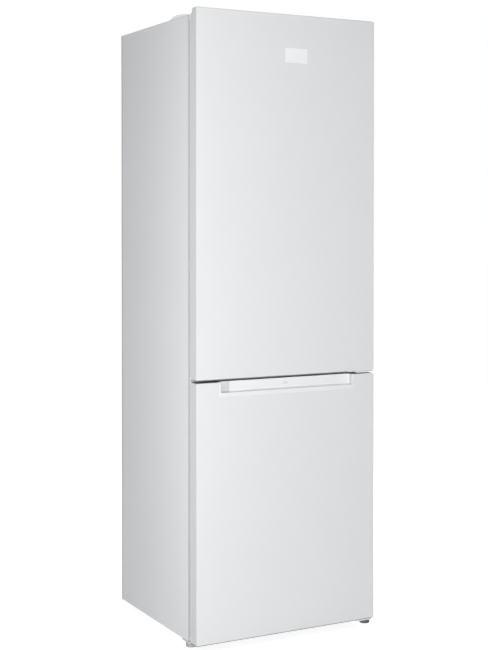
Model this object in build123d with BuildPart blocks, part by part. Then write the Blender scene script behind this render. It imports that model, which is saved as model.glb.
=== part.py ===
from build123d import *
import os

os.makedirs("parts", exist_ok=True)

# A free-standing fridge-freezer with the fridge door above the freezer door, both hinged on the right.
# X runs to the right as seen from the front, Y to the back and Z up, all in millimetres.
# The origin is on the floor, under the middle of the whole object.

# Outside of the doors and the cabinet
WIDTH = 595.0
FLOOR_GAP = 18.0
LOWER_DOOR_HEIGHT = 743.0
DOOR_SPLIT = 7.0
UPPER_DOOR_HEIGHT = 1050.0
LIP_HEIGHT = 15.5
LIP_DEPTH = 28.0
LIP_CREST = 9.0
SHOULDER_RISE = 2.0
DOOR_WRAP = 35.0
DOOR_EDGE = 6.5
SEAL_GAP = 12.5
CABINET_DEPTH = 487.0

# Sheets and the gap that the foam's skin leaves
STEEL = 0.8
DOOR_STEEL = 0.6
BACK_SHEET = 0.5
LINER = 1.5
BOND = 0.2
SHEET_BEND = 2.0
DOOR_BEND = 1.6
FRONT_FLANGE = 33.0
REAR_FLANGE = 15.0
SIDE_RISE = 1.0
SIDE_REBATE = 6.0

# Insulated walls and the niche for the compressor
FRIDGE_WALL = 45.0
FREEZER_WALL = 60.0
ROOF_WALL = 45.0
BACK_WALL = 50.0
DIVIDER = 60.0
RAIL_HEIGHT = 36.0
FREEZER_BASE = 60.0
NICHE_HEIGHT = 220.0
NICHE_DEPTH = 200.0
FRIDGE_ROUND = 16.0
FREEZER_ROUND = 14.0
RIB_WIDTH = 6.0
RIB_HEIGHT = 8.0
RIB_REAR_GAP = 25.0

# Hinges
PIN_INSET = 16.0
PIN_SETBACK = 25.0
PIN_RADIUS = 4.0
PIN_REACH = 12.0
RUNNING_FIT = 0.05
SEAT_GAP = 0.3
DOOR_CLEARANCE = 2.0
TOP_PLATE = 3.0
TOP_PLATE_WIDTH = 84.0
TOP_PLATE_DEPTH = 70.0
TOP_PLATE_SETBACK = 78.0
TOP_ARM_RADIUS = 6.4
TOP_ARM_SLANT = 32.0
RECESS_SETBACK = 18.0
RECESS_REACH = 22.0
ARM_PLATE = 4.0
ARM_SETBACK = 6.0
ARM_CORNER = 6.0
MIDDLE_ARM = 3.0
MIDDLE_ARM_GAP = 1.0
MIDDLE_ARM_SETBACK = 1.0
MIDDLE_ARM_WIDTH = 60.0
MIDDLE_EAR_HEIGHT = 13.0
MIDDLE_EAR = 3.0
MIDDLE_SCREW_INSETS = (33.0, 50.0)
BOTTOM_PLATE_WIDTH = 53.0
BOTTOM_PLATE_DEPTH = 60.0
ARM_RADIUS = 10.0
ARM_EDGE = 2.0
COLLAR_RADIUS = 8.0
SCREW_RADIUS = 2.5
SCREW_HEAD_RADIUS = 4.5
SCREW_HEAD = 1.6
SCREW_FIT = 0.1
SCREW_CHAMFER = 0.4

# Moulded cover at the front of the roof
COVER_FRONT_HEIGHT = 2.2
COVER_MIDDLE_DEPTH = 44.0
COVER_MIDDLE_HEIGHT = 7.8
COVER_RIDGE_DEPTH = 104.0
COVER_RIDGE_HEIGHT = 8.4
COVER_RIDGE_ROUND = 30.0
COVER_DEPTH = 127.0
COVER_WALL = 1.5
COVER_INSET = 1.0
COVER_NOTCH_DEPTH = 34.0

# Doors
DOOR_CORNER = 8.0
CAP_HEIGHT = 16.0
CAP_TUCK = 0.1
RIM_INSET = 1.0
DYKE_CLEARANCE = 8.5
DYKE_WIDTH = 14.0
DYKE_ROUND = 14.0
DYKE_INNER_ROUND = 6.0
FRIDGE_DYKE = 58.5
FREEZER_DYKE = 28.5
SEAL_WIDTH = 17.0
SEAL_PIN_GAP = 0.5
SEAL_LATCH_EDGE = 4.0
SEAL_EDGE = 14.5
SEAL_SPLIT_EDGE = 4.0
SEAL_FOOT = 3.5
SEAL_NECK = 4.5
SEAL_PINCH = 3.5
SEAL_TRIM = 1.0

# Handle insert in the top edge of the freezer door
POCKET_WIDTH = 439.0
HANDLE_FRAME = 7.0
HANDLE_DROP = 44.0
HANDLE_CORNER = 9.0
POCKET_DROP = 30.0
POCKET_FLOOR = 2.0
POCKET_DEPTH = 18.0
HANDLE_WALL = 2.5
LIP_WALL = 4.5
LIP_ROUND = 1.5
PLUG_RADIUS = 3.5
PLUG_LENGTH = 16.0
PLUG_HEIGHT = 0.8

# Door bins
BIN_FIT = 0.3
BIN_REAR = 154.0
BIN_WALL = 2.5
BIN_DRAFT = 3.0
BIN_ROUND = 14.0
BIN_LEVELS = (700.0, 380.0)
BIN_HEIGHT = 75.0
BOTTLE_BIN_HEIGHT = 115.0
RAIL_BAND = 9.0
RAIL_BAND_WALL = 1.5

# Shelves and drawers
SHELF_FRONT = 163.0
SHELF_REAR_GAP = 6.0
SHELF_SIDE_GAP = 2.0
SHELF_GLASS = 4.0
SHELF_LEVELS = (375.0, 545.0, 715.0)
CRISPER_LID_LEVEL = 205.0
TRIM_WRAP = 12.0
TRIM_WALL = 2.5
TRIM_DROP = 6.0
DRAWER_PLAY = 12.0
DRAWER_STOP = 1.5
DRAWER_SIDE_GAP = 4.0
DRAWER_WALL = 2.2
DRAWER_FRONT_WALL = 4.0
DRAWER_DRAFT = 5.0
DRAWER_ROUND = 18.0
DRAWER_LIFT = 0.3
GRIP_WIDTH = 130.0
GRIP_HEIGHT = 26.0
GRIP_DROP = 32.0
CRISPER_HEIGHT = 185.0
CRISPER_SETBACK = 173.0
CRISPER_SIDE_GAP = 17.0
SHELF_PLATE = 3.0
PLATE_SIDE_GAP = 1.0
DRAWER_HEADROOM = 10.0
TOP_DRAWER_HEIGHT = 200.0
MIDDLE_DRAWER_HEIGHT = 195.0

# Controls on the fridge ceiling
CONTROL_WIDTH = 300.0
CONTROL_SETBACK = 178.0
CONTROL_DEPTH = 150.0
CONTROL_HEIGHT = 45.0
CONTROL_ROUND = 10.0
KNOB_RADIUS = 17.0
KNOB_DEPTH = 12.0
KNOB_FLUTES = 12
KNOB_FLUTE_RADIUS = 1.6
KNOB_OFFSET = 75.0
SPINDLE_RADIUS = 3.0
SPINDLE_REACH = 8.0
LAMP_WIDTH = 140.0
LAMP_DEPTH = 70.0
LAMP_HEIGHT = 34.0
LAMP_ROUND = 8.0
LAMP_WALL = 2.0

# Evaporator plates behind the liners
PLATE_SHEET = 1.5
CHANNEL_WIDTH = 9.0
CHANNEL_HEIGHT = 3.0
CHANNEL_ROUND = 14.0
CHANNEL_RUNS = 5
CHANNEL_MARGIN = 25.0
FRIDGE_PLATE_WIDTH = 360.0
FRIDGE_PLATE_HEIGHT = 420.0
FREEZER_PLATE_WIDTH = 380.0
FREEZER_PLATE_HEIGHT = 300.0

# Feet and rollers
FOOT_RADIUS = 15.0
FOOT_HEIGHT = 11.0
FOOT_CHAMFER = 1.0
FOOT_NECK_RADIUS = 8.0
STUD_RADIUS = 5.0
STUD_TOP = 40.0
LEFT_FOOT_INSET = 15.5
LEFT_FOOT_SETBACK = 67.5
FOOT_BRACKET_WIDTH = 62.0
FOOT_BRACKET_DEPTH = 46.0
WELL_RADIUS = 8.0
WELL_DEPTH = 8.0
ROLLER_RADIUS = 13.0
ROLLER_WIDTH = 20.0
ROLLER_INSET = 60.0
ROLLER_SETBACK = 40.0
AXLE_RADIUS = 3.0
CHEEK = 2.0
CHEEK_GAP = 0.5
CHEEK_MARGIN = 5.0
BRACKET_DEPTH = 34.0

# Compressor in its niche
BASE_HEIGHT = 32.0
BASE_SHEET = 2.0
BASE_FLANGE = 40.0
BASE_FRONT_GAP = 10.0
BASE_REAR_GAP = 8.0
BASE_BEND = 4.0
COMPRESSOR_X = -60.0
COMPRESSOR_SETBACK = 100.0
COMPRESSOR_LENGTH = 196.0
COMPRESSOR_WIDTH = 142.0
COMPRESSOR_HEIGHT = 132.0
COMPRESSOR_CROWN = 40.0
COMPRESSOR_KEEL = 20.0
SEAM_HEIGHT = 66.0
SEAM_THICKNESS = 4.0
SEAM_PROUD = 5.0
FOOT_PLATE = 3.0
FOOT_PLATE_LENGTH = 200.0
FOOT_PLATE_WIDTH = 130.0
FOOT_PLATE_ROUND = 12.0
MOUNT_RADIUS = 12.0
MOUNT_WAIST = 2.5
MOUNT_HEIGHT = 12.0
MOUNT_MARGIN = 15.0
STUB_RADIUS = 4.5
STUB_LENGTH = 14.0
STUB_SPREAD = 44.0
STUB_HEIGHT = 58.0
TERMINAL_WIDTH = 28.0
TERMINAL_DEPTH = 62.0
TERMINAL_HEIGHT = 58.0
TERMINAL_ROUND = 5.0
TRAY_LENGTH = 190.0
TRAY_WIDTH = 124.0
TRAY_HEIGHT = 26.0
TRAY_WALL = 2.0
TRAY_ROUND = 16.0
GLAND_X = 150.0
GLAND_SETBACK = 30.0
GLAND_RADIUS = 9.0
GLAND_HOLE = 3.6
GLAND_LIP = 1.5
GLAND_GROOVE = 2.0
GLAND_FIT = 0.1

# Condenser on the back
CONDENSER_STANDOFF = 20.0
TUBE_RADIUS = 2.7
TUBE_SIDES = 8
CONDENSER_WIDTH = 450.0
CONDENSER_RUNS = 14
CONDENSER_PITCH = 86.0
CONDENSER_TOP_GAP = 150.0
CONDENSER_BEND = 36.0
RISER_GAP = 26.0
RISER_BEND = 16.0
WIRE = 1.6
WIRE_FIT = 0.05
WIRE_COUNT = 27
WIRE_MARGIN = 20.0
CLIP_WIDTH = 26.0
CLIP_HEIGHT = 22.0
CLIP_FOOT = 2.5
CLIP_WALL = 2.0
CLIP_POST = 8.0
DRIER_X = 175.0
DRIER_SETBACK = 60.0
DRIER_RADIUS = 9.0
DRIER_LENGTH = 80.0
DRIER_NECK = 14.0
DRIER_TOP = 160.0
PIPE_RADIUS = 3.2
PIPE_RUN = 34.0
PIPE_BEND = 12.0
CAPILLARY_RADIUS = 1.2
CAPILLARY_DROP = 20.0
CAPILLARY_RUN = 42.0
CAPILLARY_BEND = 9.0

# Places that follow from the sizes above
HALF = WIDTH / 2
CONDENSER_REACH = CONDENSER_STANDOFF + TUBE_RADIUS + CLIP_WALL
DEPTH = DOOR_WRAP + DOOR_EDGE + SEAL_GAP + CABINET_DEPTH + CONDENSER_REACH
FRONT = -DEPTH / 2
WRAP_REAR = FRONT + DOOR_WRAP
DOOR_REAR = WRAP_REAR + DOOR_EDGE
CABINET_FRONT = DOOR_REAR + SEAL_GAP
CABINET_REAR = CABINET_FRONT + CABINET_DEPTH
LOWER_DOOR_TOP = FLOOR_GAP + LOWER_DOOR_HEIGHT
UPPER_DOOR_BOTTOM = LOWER_DOOR_TOP + DOOR_SPLIT
UPPER_DOOR_TOP = UPPER_DOOR_BOTTOM + UPPER_DOOR_HEIGHT
CABINET_TOP = UPPER_DOOR_TOP - LIP_HEIGHT
SHOULDER = CABINET_TOP + SHOULDER_RISE
HINGE_SEAT = CABINET_TOP - DOOR_CLEARANCE
SPLIT_MIDDLE = LOWER_DOOR_TOP + DOOR_SPLIT / 2
PAN_BOTTOM = FLOOR_GAP - DOOR_CLEARANCE
SIDE_BOTTOM = FLOOR_GAP + SIDE_RISE
NICHE_TOP = FLOOR_GAP + NICHE_HEIGHT
NICHE_FRONT = CABINET_REAR - NICHE_DEPTH
BACK_FACE = CABINET_REAR - STEEL - BOND
FRIDGE_HALF = HALF - FRIDGE_WALL
FREEZER_HALF = HALF - FREEZER_WALL
CAVITY_REAR = CABINET_REAR - BACK_WALL
FRIDGE_FLOOR = SPLIT_MIDDLE + DIVIDER / 2
FRIDGE_CEILING = CABINET_TOP - ROOF_WALL
FREEZER_CEILING = SPLIT_MIDDLE - DIVIDER / 2
FREEZER_FLOOR = FLOOR_GAP + FREEZER_BASE
STEP_TOP = NICHE_TOP + FREEZER_BASE
STEP_FRONT = NICHE_FRONT - FREEZER_WALL
PIN_X = HALF - PIN_INSET
PIN_Y = FRONT + PIN_SETBACK
PIN_HOLE = PIN_REACH + SEAT_GAP
SKIN_HALF = HALF - STEEL - BOND
FLANGE_HALF = HALF - FRONT_FLANGE - BOND
RIM_HALF = HALF - RIM_INSET


def level(height):
    """A level plane at a height above the floor."""
    return Plane.XY.offset(height)


def upright(depth):
    """An upright plane seen from the front. Extruding by a negative amount goes to the back."""
    return Plane.XZ.offset(-depth)


def span(low_x, high_x, low_y, high_y, mode=Mode.ADD):
    """A rectangle between two corners, in the sketch that is open."""
    with Locations(((low_x + high_x) / 2, (low_y + high_y) / 2)):
        Rectangle(high_x - low_x, high_y - low_y, mode=mode)


def rounded_span(low_x, high_x, low_y, high_y, radius, mode=Mode.ADD):
    """A rectangle with round corners, in the sketch that is open."""
    with Locations(((low_x + high_x) / 2, (low_y + high_y) / 2)):
        RectangleRounded(high_x - low_x, high_y - low_y, radius, mode=mode)


def save(piece, name):
    """Label a finished piece and write it to its own file."""
    piece.part.label = name
    export_step(piece.part, f"parts/{name}.step")


# Cabinet skins: two side panels, roof, back sheet and the base pan with its step over the niche
with BuildPart() as right_side_panel:
    with BuildSketch(level(SIDE_BOTTOM)):
        with BuildLine():
            FilletPolyline(
                (HALF - FRONT_FLANGE, CABINET_FRONT),
                (HALF, CABINET_FRONT),
                (HALF, CABINET_REAR),
                (HALF - REAR_FLANGE, CABINET_REAR),
                radius=SHEET_BEND,
            )
            offset(amount=STEEL, side=Side.LEFT)
        make_face()
    extrude(amount=CABINET_TOP - SIDE_BOTTOM)
save(right_side_panel, "right_side_panel")

with BuildPart() as left_side_panel:
    mirror(right_side_panel.part, about=Plane.YZ)
save(left_side_panel, "left_side_panel")

with BuildPart() as top_panel:
    with BuildSketch(level(CABINET_TOP - STEEL)):
        span(-SKIN_HALF, SKIN_HALF, CABINET_FRONT + SHEET_BEND, BACK_FACE - SHEET_BEND)
        span(-FLANGE_HALF, FLANGE_HALF, CABINET_FRONT, CABINET_FRONT + SHEET_BEND)
    extrude(amount=STEEL)
    with BuildSketch(upright(CABINET_FRONT)):
        span(-FLANGE_HALF, FLANGE_HALF, CABINET_TOP - FRONT_FLANGE, CABINET_TOP)
    extrude(amount=-STEEL)
save(top_panel, "top_panel")

with BuildPart() as back_panel:
    with BuildSketch(upright(BACK_FACE - BACK_SHEET)):
        span(-SKIN_HALF + SHEET_BEND, SKIN_HALF - SHEET_BEND, NICHE_TOP, CABINET_TOP - STEEL - BOND)
    extrude(amount=-BACK_SHEET)
save(back_panel, "back_panel")

with BuildPart() as side_rebates:
    with BuildSketch(level(PAN_BOTTOM)):
        for edge in (-HALF, HALF):
            span(edge - SIDE_REBATE, edge + SIDE_REBATE, FRONT, NICHE_FRONT + SHEET_BEND)
    extrude(amount=SIDE_BOTTOM + SIDE_REBATE - PAN_BOTTOM)

with BuildPart() as base_pan:
    with BuildSketch(Plane.YZ):
        with BuildLine():
            FilletPolyline(
                (CABINET_FRONT, PAN_BOTTOM + FRONT_FLANGE),
                (CABINET_FRONT, PAN_BOTTOM),
                (NICHE_FRONT, PAN_BOTTOM),
                (NICHE_FRONT, NICHE_TOP),
                (BACK_FACE - BACK_SHEET - BOND, NICHE_TOP),
                radius=SHEET_BEND,
            )
            offset(amount=STEEL, side=Side.LEFT)
        make_face()
    extrude(amount=SKIN_HALF, both=True)
    with BuildSketch(level(PAN_BOTTOM)):
        for side in (-1, 1):
            with Locations((side * (FLANGE_HALF + FRONT_FLANGE / 2), CABINET_FRONT)):
                Rectangle(FRONT_FLANGE, 2 * (SHEET_BEND + BOND))
    extrude(amount=FRONT_FLANGE, mode=Mode.SUBTRACT)
    with Locations((-HALF + LEFT_FOOT_INSET, FRONT + LEFT_FOOT_SETBACK, PAN_BOTTOM)):
        Cylinder(WELL_RADIUS, 2 * SHEET_BEND, mode=Mode.SUBTRACT)
    add(side_rebates.part, mode=Mode.SUBTRACT)
save(base_pan, "base_pan")


# Compartments, their liners and the foam around them
def fridge_space(grow):
    """The fridge compartment as a solid, grown outwards on every wall."""
    with BuildPart() as space:
        with BuildSketch(upright(CABINET_FRONT)):
            rounded_span(
                -FRIDGE_HALF - grow, FRIDGE_HALF + grow,
                FRIDGE_FLOOR - grow, FRIDGE_CEILING + grow, FRIDGE_ROUND + grow,
            )
        extrude(amount=CABINET_FRONT - CAVITY_REAR - grow)
        fillet(space.faces().sort_by(Axis.Y)[-1].edges(), FRIDGE_ROUND - LINER + grow)
    return space.part


def freezer_space(grow):
    """The freezer compartment as a solid, with the step over the niche, grown outwards on every wall."""
    with BuildPart() as space:
        with BuildSketch(Plane.YZ):
            with BuildLine():
                Polyline(
                    (CABINET_FRONT, FREEZER_FLOOR - grow),
                    (STEP_FRONT + grow, FREEZER_FLOOR - grow),
                    (STEP_FRONT + grow, STEP_TOP - grow),
                    (CAVITY_REAR + grow, STEP_TOP - grow),
                    (CAVITY_REAR + grow, FREEZER_CEILING + grow),
                    (CABINET_FRONT, FREEZER_CEILING + grow),
                    close=True,
                )
            make_face()
        extrude(amount=FREEZER_HALF + grow, both=True)
        inner_corners = space.edges().filter_by(Axis.X).filter_by_position(
            Axis.Y, STEP_FRONT - FREEZER_ROUND, CAVITY_REAR + FREEZER_ROUND
        )
        nose = inner_corners.sort_by(Axis.Y)[:2].sort_by(Axis.Z)[-1]
        fillet([edge for edge in inner_corners if edge != nose], FREEZER_ROUND + grow)
        fillet(
            space.edges().filter_by(Axis.X).filter_by_position(
                Axis.Y, STEP_FRONT, STEP_FRONT + 2 * grow + LINER
            ).sort_by(Axis.Z)[-1],
            FREEZER_ROUND - grow,
        )
    return space.part


with BuildPart() as insulation_foam:
    foam_front = CABINET_FRONT + LINER + BOND
    foam_rear = BACK_FACE - BACK_SHEET - BOND
    with BuildSketch(Plane.YZ) as foam_outline:
        with BuildLine():
            Polyline(
                (foam_front, PAN_BOTTOM + STEEL + BOND),
                (NICHE_FRONT - STEEL - BOND, PAN_BOTTOM + STEEL + BOND),
                (NICHE_FRONT - STEEL - BOND, NICHE_TOP + STEEL + BOND),
                (foam_rear, NICHE_TOP + STEEL + BOND),
                (foam_rear, CABINET_TOP - STEEL - BOND),
                (foam_front, CABINET_TOP - STEEL - BOND),
                close=True,
            )
        make_face()
        fillet(foam_outline.vertices().group_by(Axis.Y)[0], SHEET_BEND)
    extrude(amount=SKIN_HALF - BOND, both=True)
    add(fridge_space(LINER + BOND), mode=Mode.SUBTRACT)
    add(freezer_space(LINER + BOND), mode=Mode.SUBTRACT)
    plate_pocket = PLATE_SHEET + CHANNEL_HEIGHT + BOND
    with BuildSketch(upright(CAVITY_REAR)):
        with Locations((0, (FRIDGE_FLOOR + FRIDGE_CEILING) / 2)):
            Rectangle(FRIDGE_PLATE_WIDTH + 2 * BOND, FRIDGE_PLATE_HEIGHT + 2 * BOND)
        with Locations((0, (STEP_TOP + FREEZER_CEILING) / 2)):
            Rectangle(FREEZER_PLATE_WIDTH + 2 * BOND, FREEZER_PLATE_HEIGHT + 2 * BOND)
    extrude(amount=-(LINER + BOND + plate_pocket), mode=Mode.SUBTRACT)
    with BuildSketch(level(PAN_BOTTOM)):
        with Locations((-HALF + LEFT_FOOT_INSET, FRONT + LEFT_FOOT_SETBACK)):
            Circle(WELL_RADIUS)
    extrude(amount=STUD_TOP + WELL_DEPTH - PAN_BOTTOM, mode=Mode.SUBTRACT)
    add(side_rebates.part, mode=Mode.SUBTRACT)
save(insulation_foam, "insulation_foam")


def shelf_ribs(half, levels, front, rear):
    """Pairs of ribs on the side walls of a liner, one pair under each level."""
    with BuildPart() as ribs:
        for side in (-1, 1):
            with BuildSketch(Plane.YZ.offset(side * (half - RIB_WIDTH))):
                for height in levels:
                    span(front, rear, height - RIB_HEIGHT, height)
            extrude(amount=side * (RIB_WIDTH + LINER / 2))
    return ribs.part


shelf_heights = [FRIDGE_FLOOR + rise for rise in SHELF_LEVELS]
lid_height = FRIDGE_FLOOR + CRISPER_LID_LEVEL
shelf_front = FRONT + SHELF_FRONT
shelf_rear = CAVITY_REAR - SHELF_REAR_GAP
with BuildPart() as fridge_liner:
    add(fridge_space(LINER))
    with BuildSketch(upright(CABINET_FRONT)):
        span(
            -FLANGE_HALF, FLANGE_HALF,
            SPLIT_MIDDLE + RAIL_HEIGHT / 2 + BOND, CABINET_TOP - FRONT_FLANGE - BOND,
        )
    extrude(amount=-LINER)
    add(fridge_space(0), mode=Mode.SUBTRACT)
    add(shelf_ribs(FRIDGE_HALF, shelf_heights + [lid_height], shelf_front, CAVITY_REAR - RIB_REAR_GAP))
save(fridge_liner, "fridge_liner")

drawer_front = DOOR_REAR + FREEZER_DYKE + DRAWER_STOP + DRAWER_PLAY
plate_rise = SHELF_PLATE + DRAWER_LIFT
top_plate_height = FREEZER_CEILING - DRAWER_HEADROOM - TOP_DRAWER_HEIGHT - plate_rise
middle_plate_height = top_plate_height - DRAWER_HEADROOM - MIDDLE_DRAWER_HEIGHT - plate_rise
with BuildPart() as freezer_liner:
    add(freezer_space(LINER))
    with BuildSketch(upright(CABINET_FRONT)):
        span(
            -FLANGE_HALF, FLANGE_HALF,
            PAN_BOTTOM + FRONT_FLANGE + BOND, SPLIT_MIDDLE - RAIL_HEIGHT / 2 - BOND,
        )
    extrude(amount=-LINER)
    add(freezer_space(0), mode=Mode.SUBTRACT)
    add(shelf_ribs(FREEZER_HALF, (top_plate_height, middle_plate_height), drawer_front, STEP_FRONT))
save(freezer_liner, "freezer_liner")

with BuildPart() as centre_rail:
    with BuildSketch(upright(CABINET_FRONT)):
        span(-FLANGE_HALF, FLANGE_HALF, SPLIT_MIDDLE - RAIL_HEIGHT / 2, SPLIT_MIDDLE + RAIL_HEIGHT / 2)
    extrude(amount=-STEEL)
save(centre_rail, "centre_rail")


def evaporator(width, height, middle):
    """A plate with one raised serpentine channel, against the back of a liner."""
    with BuildPart() as plate:
        with BuildSketch(upright(CAVITY_REAR + LINER + BOND)):
            with Locations((0, middle)):
                Rectangle(width, height)
        extrude(amount=-PLATE_SHEET)
        reach = width / 2 - CHANNEL_MARGIN
        pitch = (height - 2 * CHANNEL_MARGIN) / (CHANNEL_RUNS - 1)
        turns = []
        for run in range(CHANNEL_RUNS):
            height_here = middle - height / 2 + CHANNEL_MARGIN + run * pitch
            direction = 1 if run % 2 else -1
            turns += [(direction * reach, height_here), (-direction * reach, height_here)]
        with BuildSketch(upright(CAVITY_REAR + LINER + BOND + PLATE_SHEET)):
            with BuildLine() as channel:
                FilletPolyline(*turns, radius=CHANNEL_ROUND)
            trace(channel.wires()[0], line_width=CHANNEL_WIDTH)
        extrude(amount=-CHANNEL_HEIGHT)
    return plate


fridge_evaporator = evaporator(FRIDGE_PLATE_WIDTH, FRIDGE_PLATE_HEIGHT, (FRIDGE_FLOOR + FRIDGE_CEILING) / 2)
save(fridge_evaporator, "fridge_evaporator")
freezer_evaporator = evaporator(FREEZER_PLATE_WIDTH, FREEZER_PLATE_HEIGHT, (STEP_TOP + FREEZER_CEILING) / 2)
save(freezer_evaporator, "freezer_evaporator")

# Top hinge: its arm slants to the left, so that the raised lip of the open door clears it
top_screws = [
    (HALF - FRONT_FLANGE - TOP_PLATE_WIDTH / 2 + across, CABINET_FRONT + TOP_PLATE_SETBACK + along)
    for across, along in ((-TOP_PLATE_WIDTH / 4, 0), (TOP_PLATE_WIDTH / 4, 0), (0, -TOP_PLATE_DEPTH / 3))
]
slant = Vector(0, 1).rotate(Axis.Z, TOP_ARM_SLANT)
across_slant = Vector(TOP_ARM_RADIUS, 0).rotate(Axis.Z, TOP_ARM_SLANT)
pin_foot = Vector(PIN_X, PIN_Y)
plate_rear = CABINET_FRONT + TOP_PLATE_SETBACK + TOP_PLATE_DEPTH / 4
plate_front = plate_rear - TOP_PLATE_DEPTH
with BuildPart() as top_hinge:
    with BuildSketch(level(CABINET_TOP)):
        with Locations((PIN_X, PIN_Y)):
            Circle(TOP_ARM_RADIUS)
        arm_length = (plate_rear - PIN_Y) / slant.Y
        with BuildLine():
            Polyline(
                pin_foot + across_slant,
                pin_foot + across_slant + slant * arm_length,
                pin_foot - across_slant + slant * arm_length,
                pin_foot - across_slant,
                close=True,
            )
        make_face()
        rounded_span(
            HALF - FRONT_FLANGE - TOP_PLATE_WIDTH, HALF - FRONT_FLANGE, plate_front, plate_rear, ARM_RADIUS
        )
        with Locations(top_screws):
            Circle(SCREW_RADIUS + SCREW_FIT, mode=Mode.SUBTRACT)
    extrude(amount=TOP_PLATE)
    with BuildSketch(level(CABINET_TOP)):
        with Locations((PIN_X, PIN_Y)):
            Circle(PIN_RADIUS)
    extrude(amount=-DOOR_CLEARANCE - PIN_REACH)
save(top_hinge, "top_hinge")

# Middle hinge: an ear on the centre rail, an arm in the gap between the doors and a pin each way
arm_top = UPPER_DOOR_BOTTOM - MIDDLE_ARM_GAP
arm_bottom = arm_top - MIDDLE_ARM
middle_screws = [(HALF - FRONT_FLANGE - inset, SPLIT_MIDDLE) for inset in MIDDLE_SCREW_INSETS]
ear_inner = HALF - FRONT_FLANGE - MIDDLE_ARM_WIDTH
with BuildPart() as middle_hinge:
    with BuildSketch(upright(CABINET_FRONT - MIDDLE_EAR)):
        span(
            ear_inner, HALF - ARM_EDGE,
            SPLIT_MIDDLE - MIDDLE_EAR_HEIGHT / 2, SPLIT_MIDDLE + MIDDLE_EAR_HEIGHT / 2,
        )
    extrude(amount=-MIDDLE_EAR)
    with BuildSketch(level(arm_bottom)) as arm_outline:
        span(HALF - MIDDLE_ARM_WIDTH, HALF - ARM_EDGE, FRONT + MIDDLE_ARM_SETBACK, CABINET_FRONT - MIDDLE_EAR)
        fillet(arm_outline.vertices().group_by(Axis.Y)[0], ARM_CORNER)
    extrude(amount=MIDDLE_ARM)
    with BuildSketch(level(arm_top)):
        with Locations((PIN_X, PIN_Y)):
            Circle(COLLAR_RADIUS)
    extrude(amount=UPPER_DOOR_BOTTOM - arm_top - SEAT_GAP)
    with BuildSketch(level(LOWER_DOOR_TOP - PIN_REACH)):
        with Locations((PIN_X, PIN_Y)):
            Circle(PIN_RADIUS)
    extrude(amount=DOOR_SPLIT + 2 * PIN_REACH)
    with BuildSketch(upright(CABINET_FRONT - MIDDLE_EAR)):
        with Locations(middle_screws):
            Circle(SCREW_RADIUS + SCREW_FIT)
    extrude(amount=-MIDDLE_EAR, mode=Mode.SUBTRACT)
save(middle_hinge, "middle_hinge")

# Bottom hinge: a plate under the base pan, with a collar that carries the freezer door
hinge_bottom = PAN_BOTTOM - ARM_PLATE
bottom_screws = [
    (HALF - ARM_EDGE - BOTTOM_PLATE_WIDTH / 2 + across, CABINET_FRONT + BOTTOM_PLATE_DEPTH / 2 + along)
    for across, along in (
        (-BOTTOM_PLATE_WIDTH / 4, -BOTTOM_PLATE_DEPTH / 4),
        (BOTTOM_PLATE_WIDTH / 4, -BOTTOM_PLATE_DEPTH / 4),
        (0, BOTTOM_PLATE_DEPTH / 4),
    )
]
with BuildPart() as bottom_hinge:
    with BuildSketch(level(hinge_bottom)) as plate_outline:
        span(
            HALF - ARM_EDGE - BOTTOM_PLATE_WIDTH, HALF - ARM_EDGE,
            FRONT + ARM_SETBACK, CABINET_FRONT + BOTTOM_PLATE_DEPTH,
        )
        fillet(plate_outline.vertices().group_by(Axis.Y)[0], ARM_CORNER)
        with Locations(bottom_screws):
            Circle(SCREW_RADIUS + SCREW_FIT, mode=Mode.SUBTRACT)
    extrude(amount=ARM_PLATE)
    with BuildSketch(level(PAN_BOTTOM)):
        with Locations((PIN_X, PIN_Y)):
            Circle(COLLAR_RADIUS)
    extrude(amount=FLOOR_GAP - SEAT_GAP - PAN_BOTTOM)
    with BuildSketch(level(hinge_bottom)):
        with Locations((PIN_X, PIN_Y)):
            Circle(STUD_RADIUS + RUNNING_FIT)
    extrude(amount=FLOOR_GAP - hinge_bottom, mode=Mode.SUBTRACT)
save(bottom_hinge, "bottom_hinge")

with BuildPart() as foot_bracket:
    with BuildSketch(level(hinge_bottom)):
        rounded_span(
            -HALF + ARM_EDGE, -HALF + ARM_EDGE + FOOT_BRACKET_WIDTH,
            CABINET_FRONT, CABINET_FRONT + FOOT_BRACKET_DEPTH, ARM_EDGE,
        )
        with Locations((-HALF + LEFT_FOOT_INSET, FRONT + LEFT_FOOT_SETBACK)):
            Circle(STUD_RADIUS + RUNNING_FIT, mode=Mode.SUBTRACT)
    extrude(amount=ARM_PLATE)
save(foot_bracket, "foot_bracket")


def screw(foot, plane, shank):
    """A flat-headed screw, drawn upwards from the underside of the plate that it holds."""
    with BuildPart() as fastener:
        with BuildSketch(plane):
            with Locations(foot):
                Circle(SCREW_RADIUS)
        extrude(amount=shank)
        with BuildSketch(plane.offset(shank)):
            with Locations(foot):
                Circle(SCREW_HEAD_RADIUS)
        extrude(amount=SCREW_HEAD)
        chamfer(fastener.faces().sort_by(Axis(plane.origin, plane.z_dir))[-1].edges(), SCREW_CHAMFER)
    return fastener.part


with BuildPart() as hinge_screws:
    for foot in top_screws:
        add(screw(foot, level(CABINET_TOP), TOP_PLATE))
    for foot in middle_screws:
        add(screw(foot, upright(CABINET_FRONT), MIDDLE_EAR))
    underside = Plane(origin=(0, 0, PAN_BOTTOM), x_dir=(1, 0, 0), z_dir=(0, 0, -1))
    for across, along in bottom_screws:
        add(screw((across, -along), underside, ARM_PLATE))
save(hinge_screws, "hinge_screws")


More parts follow.
